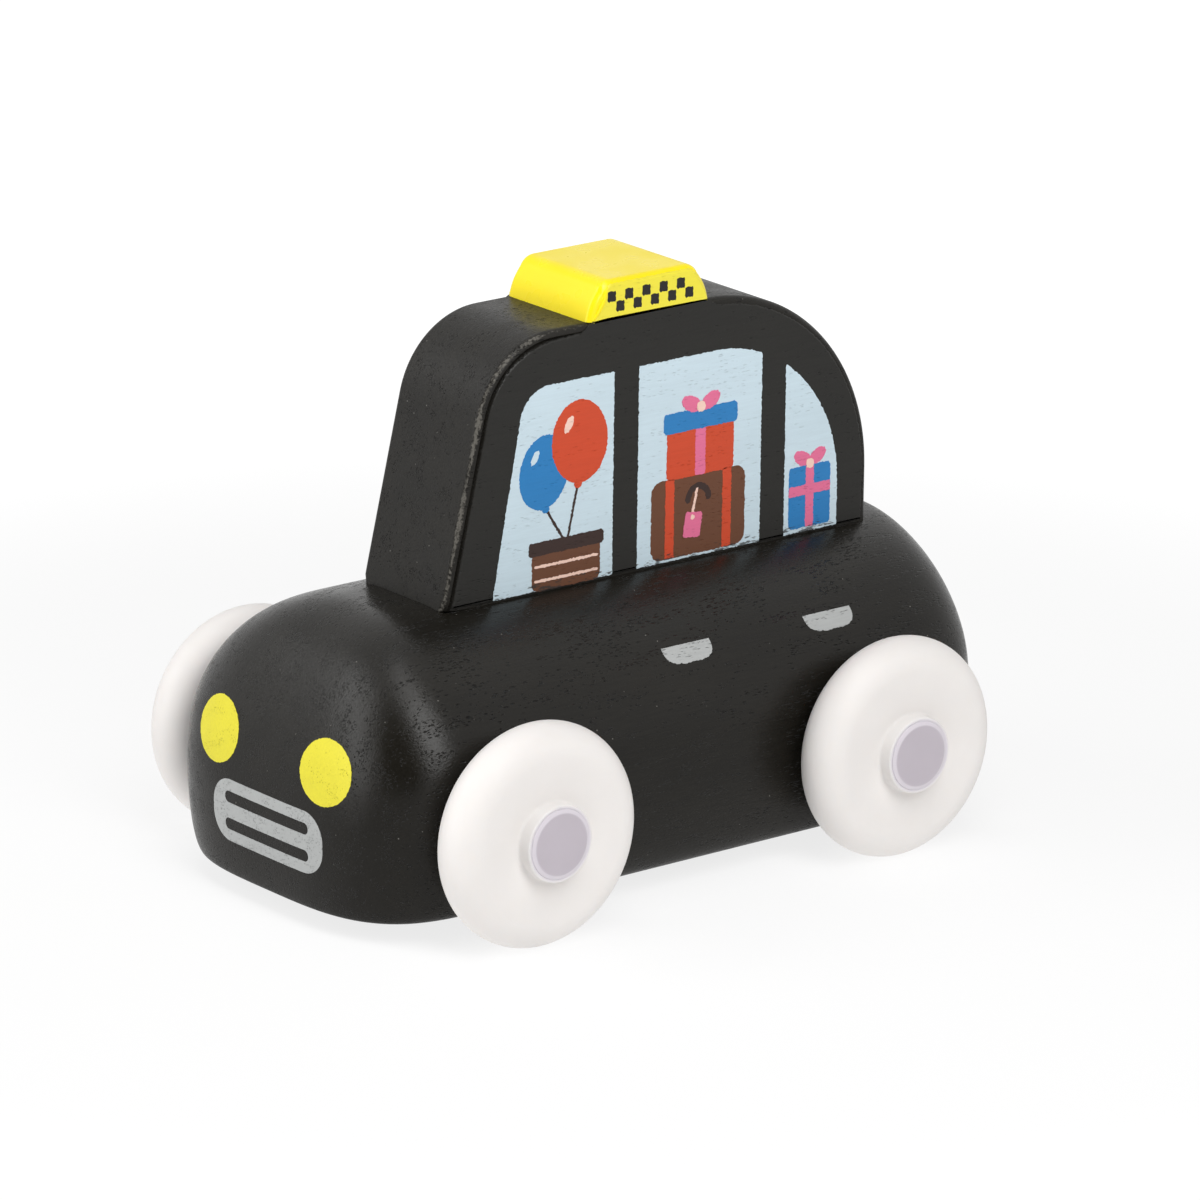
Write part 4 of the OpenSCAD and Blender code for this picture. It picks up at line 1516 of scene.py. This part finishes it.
# The part of the room that is dim for gloss: azimuth, elevation, and the cosines between which it fades
DIM_AZIMUTH = radians(24)
DIM_ELEVATION = radians(20)
DIM_OUTSIDE = 0.68
DIM_INSIDE = 0.84
# The floor: reach, paper, glow near the object and further out, and the share of it that gloss shows
FLOOR_REACH = 3.0
FLOOR_PAPER = (0.2, 0.2, 0.2, 1)
FLOOR_NEAR = 0.1
FLOOR_FAR = 0.25
FLOOR_GLOW = 0.8
FLOOR_MIRRORED = 0.7
WHITE = (1, 1, 1, 1)


def direction(azimuth, elevation):
    """Unit vector from an azimuth, counted from the nose towards the left side, and an elevation."""
    return Vector((cos(elevation) * cos(azimuth), cos(elevation) * sin(azimuth), sin(elevation)))


def put_softbox(name, azimuth, elevation, roll, distance, wide, tall, radiance):
    """A soft area lamp that looks at the object, turned by roll about its line of sight. Its power is the
    one that gives it a radiance: pi * area * radiance."""
    lamp = bpy.data.lights.new(name, "AREA")
    lamp.shape = "RECTANGLE"
    lamp.size = wide
    lamp.size_y = tall
    lamp.energy = radiance * pi * wide * tall
    box = bpy.data.objects.new(name, lamp)
    box.location = SOFTBOX_AIM + distance * direction(radians(azimuth), radians(elevation))
    upright = (box.location - SOFTBOX_AIM).to_track_quat("Z", "Y").to_matrix()
    box.rotation_euler = (upright @ Matrix.Rotation(radians(roll), 3, "Z")).to_euler()
    box.visible_camera = False
    bpy.context.scene.collection.objects.link(box)


def put_camera(stage):
    """The camera, placed by its angles about a point near the object's middle."""
    back = direction(stage.azimuth, stage.elevation)
    level = Vector((-sin(stage.azimuth), cos(stage.azimuth), 0))
    upright = back.cross(level)
    right = cos(stage.roll) * level + sin(stage.roll) * upright
    up = cos(stage.roll) * upright - sin(stage.roll) * level
    aim = CAMERA_PIVOT + CAMERA_RIGHT * right + CAMERA_UP * up
    turn = Matrix((right, up, back)).transposed()
    camera = bpy.data.cameras.new("camera")
    camera.lens = stage.lens
    camera.sensor_width = SENSOR_WIDTH
    camera.clip_start = CLIP_START
    camera.clip_end = CLIP_END
    holder = bpy.data.objects.new("camera", camera)
    holder.matrix_world = Matrix.Translation(aim + stage.distance * back) @ turn.to_4x4()
    bpy.context.scene.collection.objects.link(holder)
    bpy.context.scene.camera = holder


def put_world(stage):
    """A white room to the camera, dim in one direction for gloss, and a plain fill for matt surfaces."""
    world = bpy.data.worlds.new("room")
    bpy.context.scene.world = world
    world.use_nodes = True
    graph = Graph(world.node_tree)
    ground = world.node_tree.nodes["Background"]
    rays = graph.add("ShaderNodeLightPath").outputs
    look = graph.add("ShaderNodeTexCoord").outputs["Generated"]
    dim = tuple(direction(DIM_AZIMUTH, DIM_ELEVATION))
    facing = graph.add("ShaderNodeVectorMath", {0: look, 1: dim}, operation="DOT_PRODUCT").outputs["Value"]
    gloss = graph.span(facing, DIM_OUTSIDE, DIM_INSIDE, 1.0, 0.0)
    gloss = graph.times(gloss, rays["Is Glossy Ray"])
    plain = graph.plus(rays["Is Camera Ray"], rays["Is Transmission Ray"])
    level = graph.plus(graph.plus(gloss, plain), rays["Is Diffuse Ray"], stage.fill_light)
    ground.inputs["Color"].default_value = WHITE
    graph.link(level, ground.inputs["Strength"])


def put_floor():
    """A wide pale floor that keeps the object's soft shadow and runs out to plain white."""
    reach = FLOOR_REACH
    corners = [(-reach, -reach, 0), (reach, -reach, 0), (reach, reach, 0), (-reach, reach, 0)]
    mesh = bpy.data.meshes.new("floor")
    mesh.from_pydata(corners, [], [(0, 1, 2, 3)])
    material, graph, shader, place = start_material("floor_paper")
    shader.inputs["Base Color"].default_value = FLOOR_PAPER
    shader.inputs["Roughness"].default_value = 0.9
    shader.inputs["Specular IOR Level"].default_value = 0.0
    shader.inputs["Emission Color"].default_value = WHITE
    away = graph.add("ShaderNodeVectorMath", {0: place}, operation="LENGTH").outputs["Value"]
    glow = graph.span(away, FLOOR_NEAR, FLOOR_FAR, FLOOR_GLOW, 1.0)
    mirrored = graph.add("ShaderNodeLightPath").outputs["Is Glossy Ray"]
    glow = graph.times(glow, graph.span(mirrored, 0.0, 1.0, 1.0, FLOOR_MIRRORED))
    graph.link(glow, shader.inputs["Emission Strength"])
    mesh.materials.append(material)
    floor = bpy.data.objects.new("floor", mesh)
    bpy.context.scene.collection.objects.link(floor)


class TOYTAXI_OT_stage(bpy.types.Operator):
    """Sets up camera, floor, room and softboxes"""

    bl_idname = "toy_taxi.stage"
    bl_label = "Stage"

    def execute(self, context):
        stage = context.scene.toy_taxi.stage
        context.scene.view_settings.view_transform = "Standard"
        put_camera(stage)
        put_world(stage)
        put_floor()
        for *place, setting in SOFTBOXES:
            put_softbox(*place, getattr(stage, setting))
        return {"FINISHED"}


OPERATORS = (
    TOYTAXI_OT_stage,
    TOYTAXI_OT_hull,
    TOYTAXI_OT_cabin,
    TOYTAXI_OT_sign,
    TOYTAXI_OT_films,
    TOYTAXI_OT_prints,
    TOYTAXI_OT_wheels,
    TOYTAXI_OT_axles,
    TOYTAXI_OT_dowels,
)


class TOYTAXI_PT_panel(bpy.types.Panel):
    """Settings and buttons of the toy taxi"""

    bl_idname = "TOYTAXI_PT_panel"
    bl_label = "Toy Taxi"
    bl_space_type = "VIEW_3D"
    bl_region_type = "UI"
    bl_category = "Toy Taxi"

    def draw(self, context):
        settings = context.scene.toy_taxi
        for operator in OPERATORS:
            self.layout.operator(operator.bl_idname)
        for name in TOYTAXI_PG_settings.__annotations__:
            box = self.layout.box()
            box.label(text=name.capitalize())
            group = getattr(settings, name)
            for field in group.__annotations__:
                box.prop(group, field)


CLASSES = (
    TOYTAXI_PG_hull,
    TOYTAXI_PG_cabin,
    TOYTAXI_PG_sign,
    TOYTAXI_PG_prints,
    TOYTAXI_PG_wheels,
    TOYTAXI_PG_stage,
    TOYTAXI_PG_settings,
    *OPERATORS,
    TOYTAXI_PT_panel,
)


def register():
    """Registers the classes and the scene's settings."""
    for each in CLASSES:
        bpy.utils.register_class(each)
    bpy.types.Scene.toy_taxi = PointerProperty(type=TOYTAXI_PG_settings)


def unregister():
    """Takes the settings and the classes away again."""
    del bpy.types.Scene.toy_taxi
    for each in reversed(CLASSES):
        bpy.utils.unregister_class(each)


def main():
    """Builds the toy taxi on its stage."""
    register()
    bpy.ops.toy_taxi.stage()
    bpy.ops.toy_taxi.hull()
    bpy.ops.toy_taxi.cabin()
    bpy.ops.toy_taxi.sign()
    bpy.ops.toy_taxi.films()
    bpy.ops.toy_taxi.prints()
    bpy.ops.toy_taxi.wheels()
    bpy.ops.toy_taxi.axles()
    bpy.ops.toy_taxi.dowels()


if __name__ == "__main__":
    main()
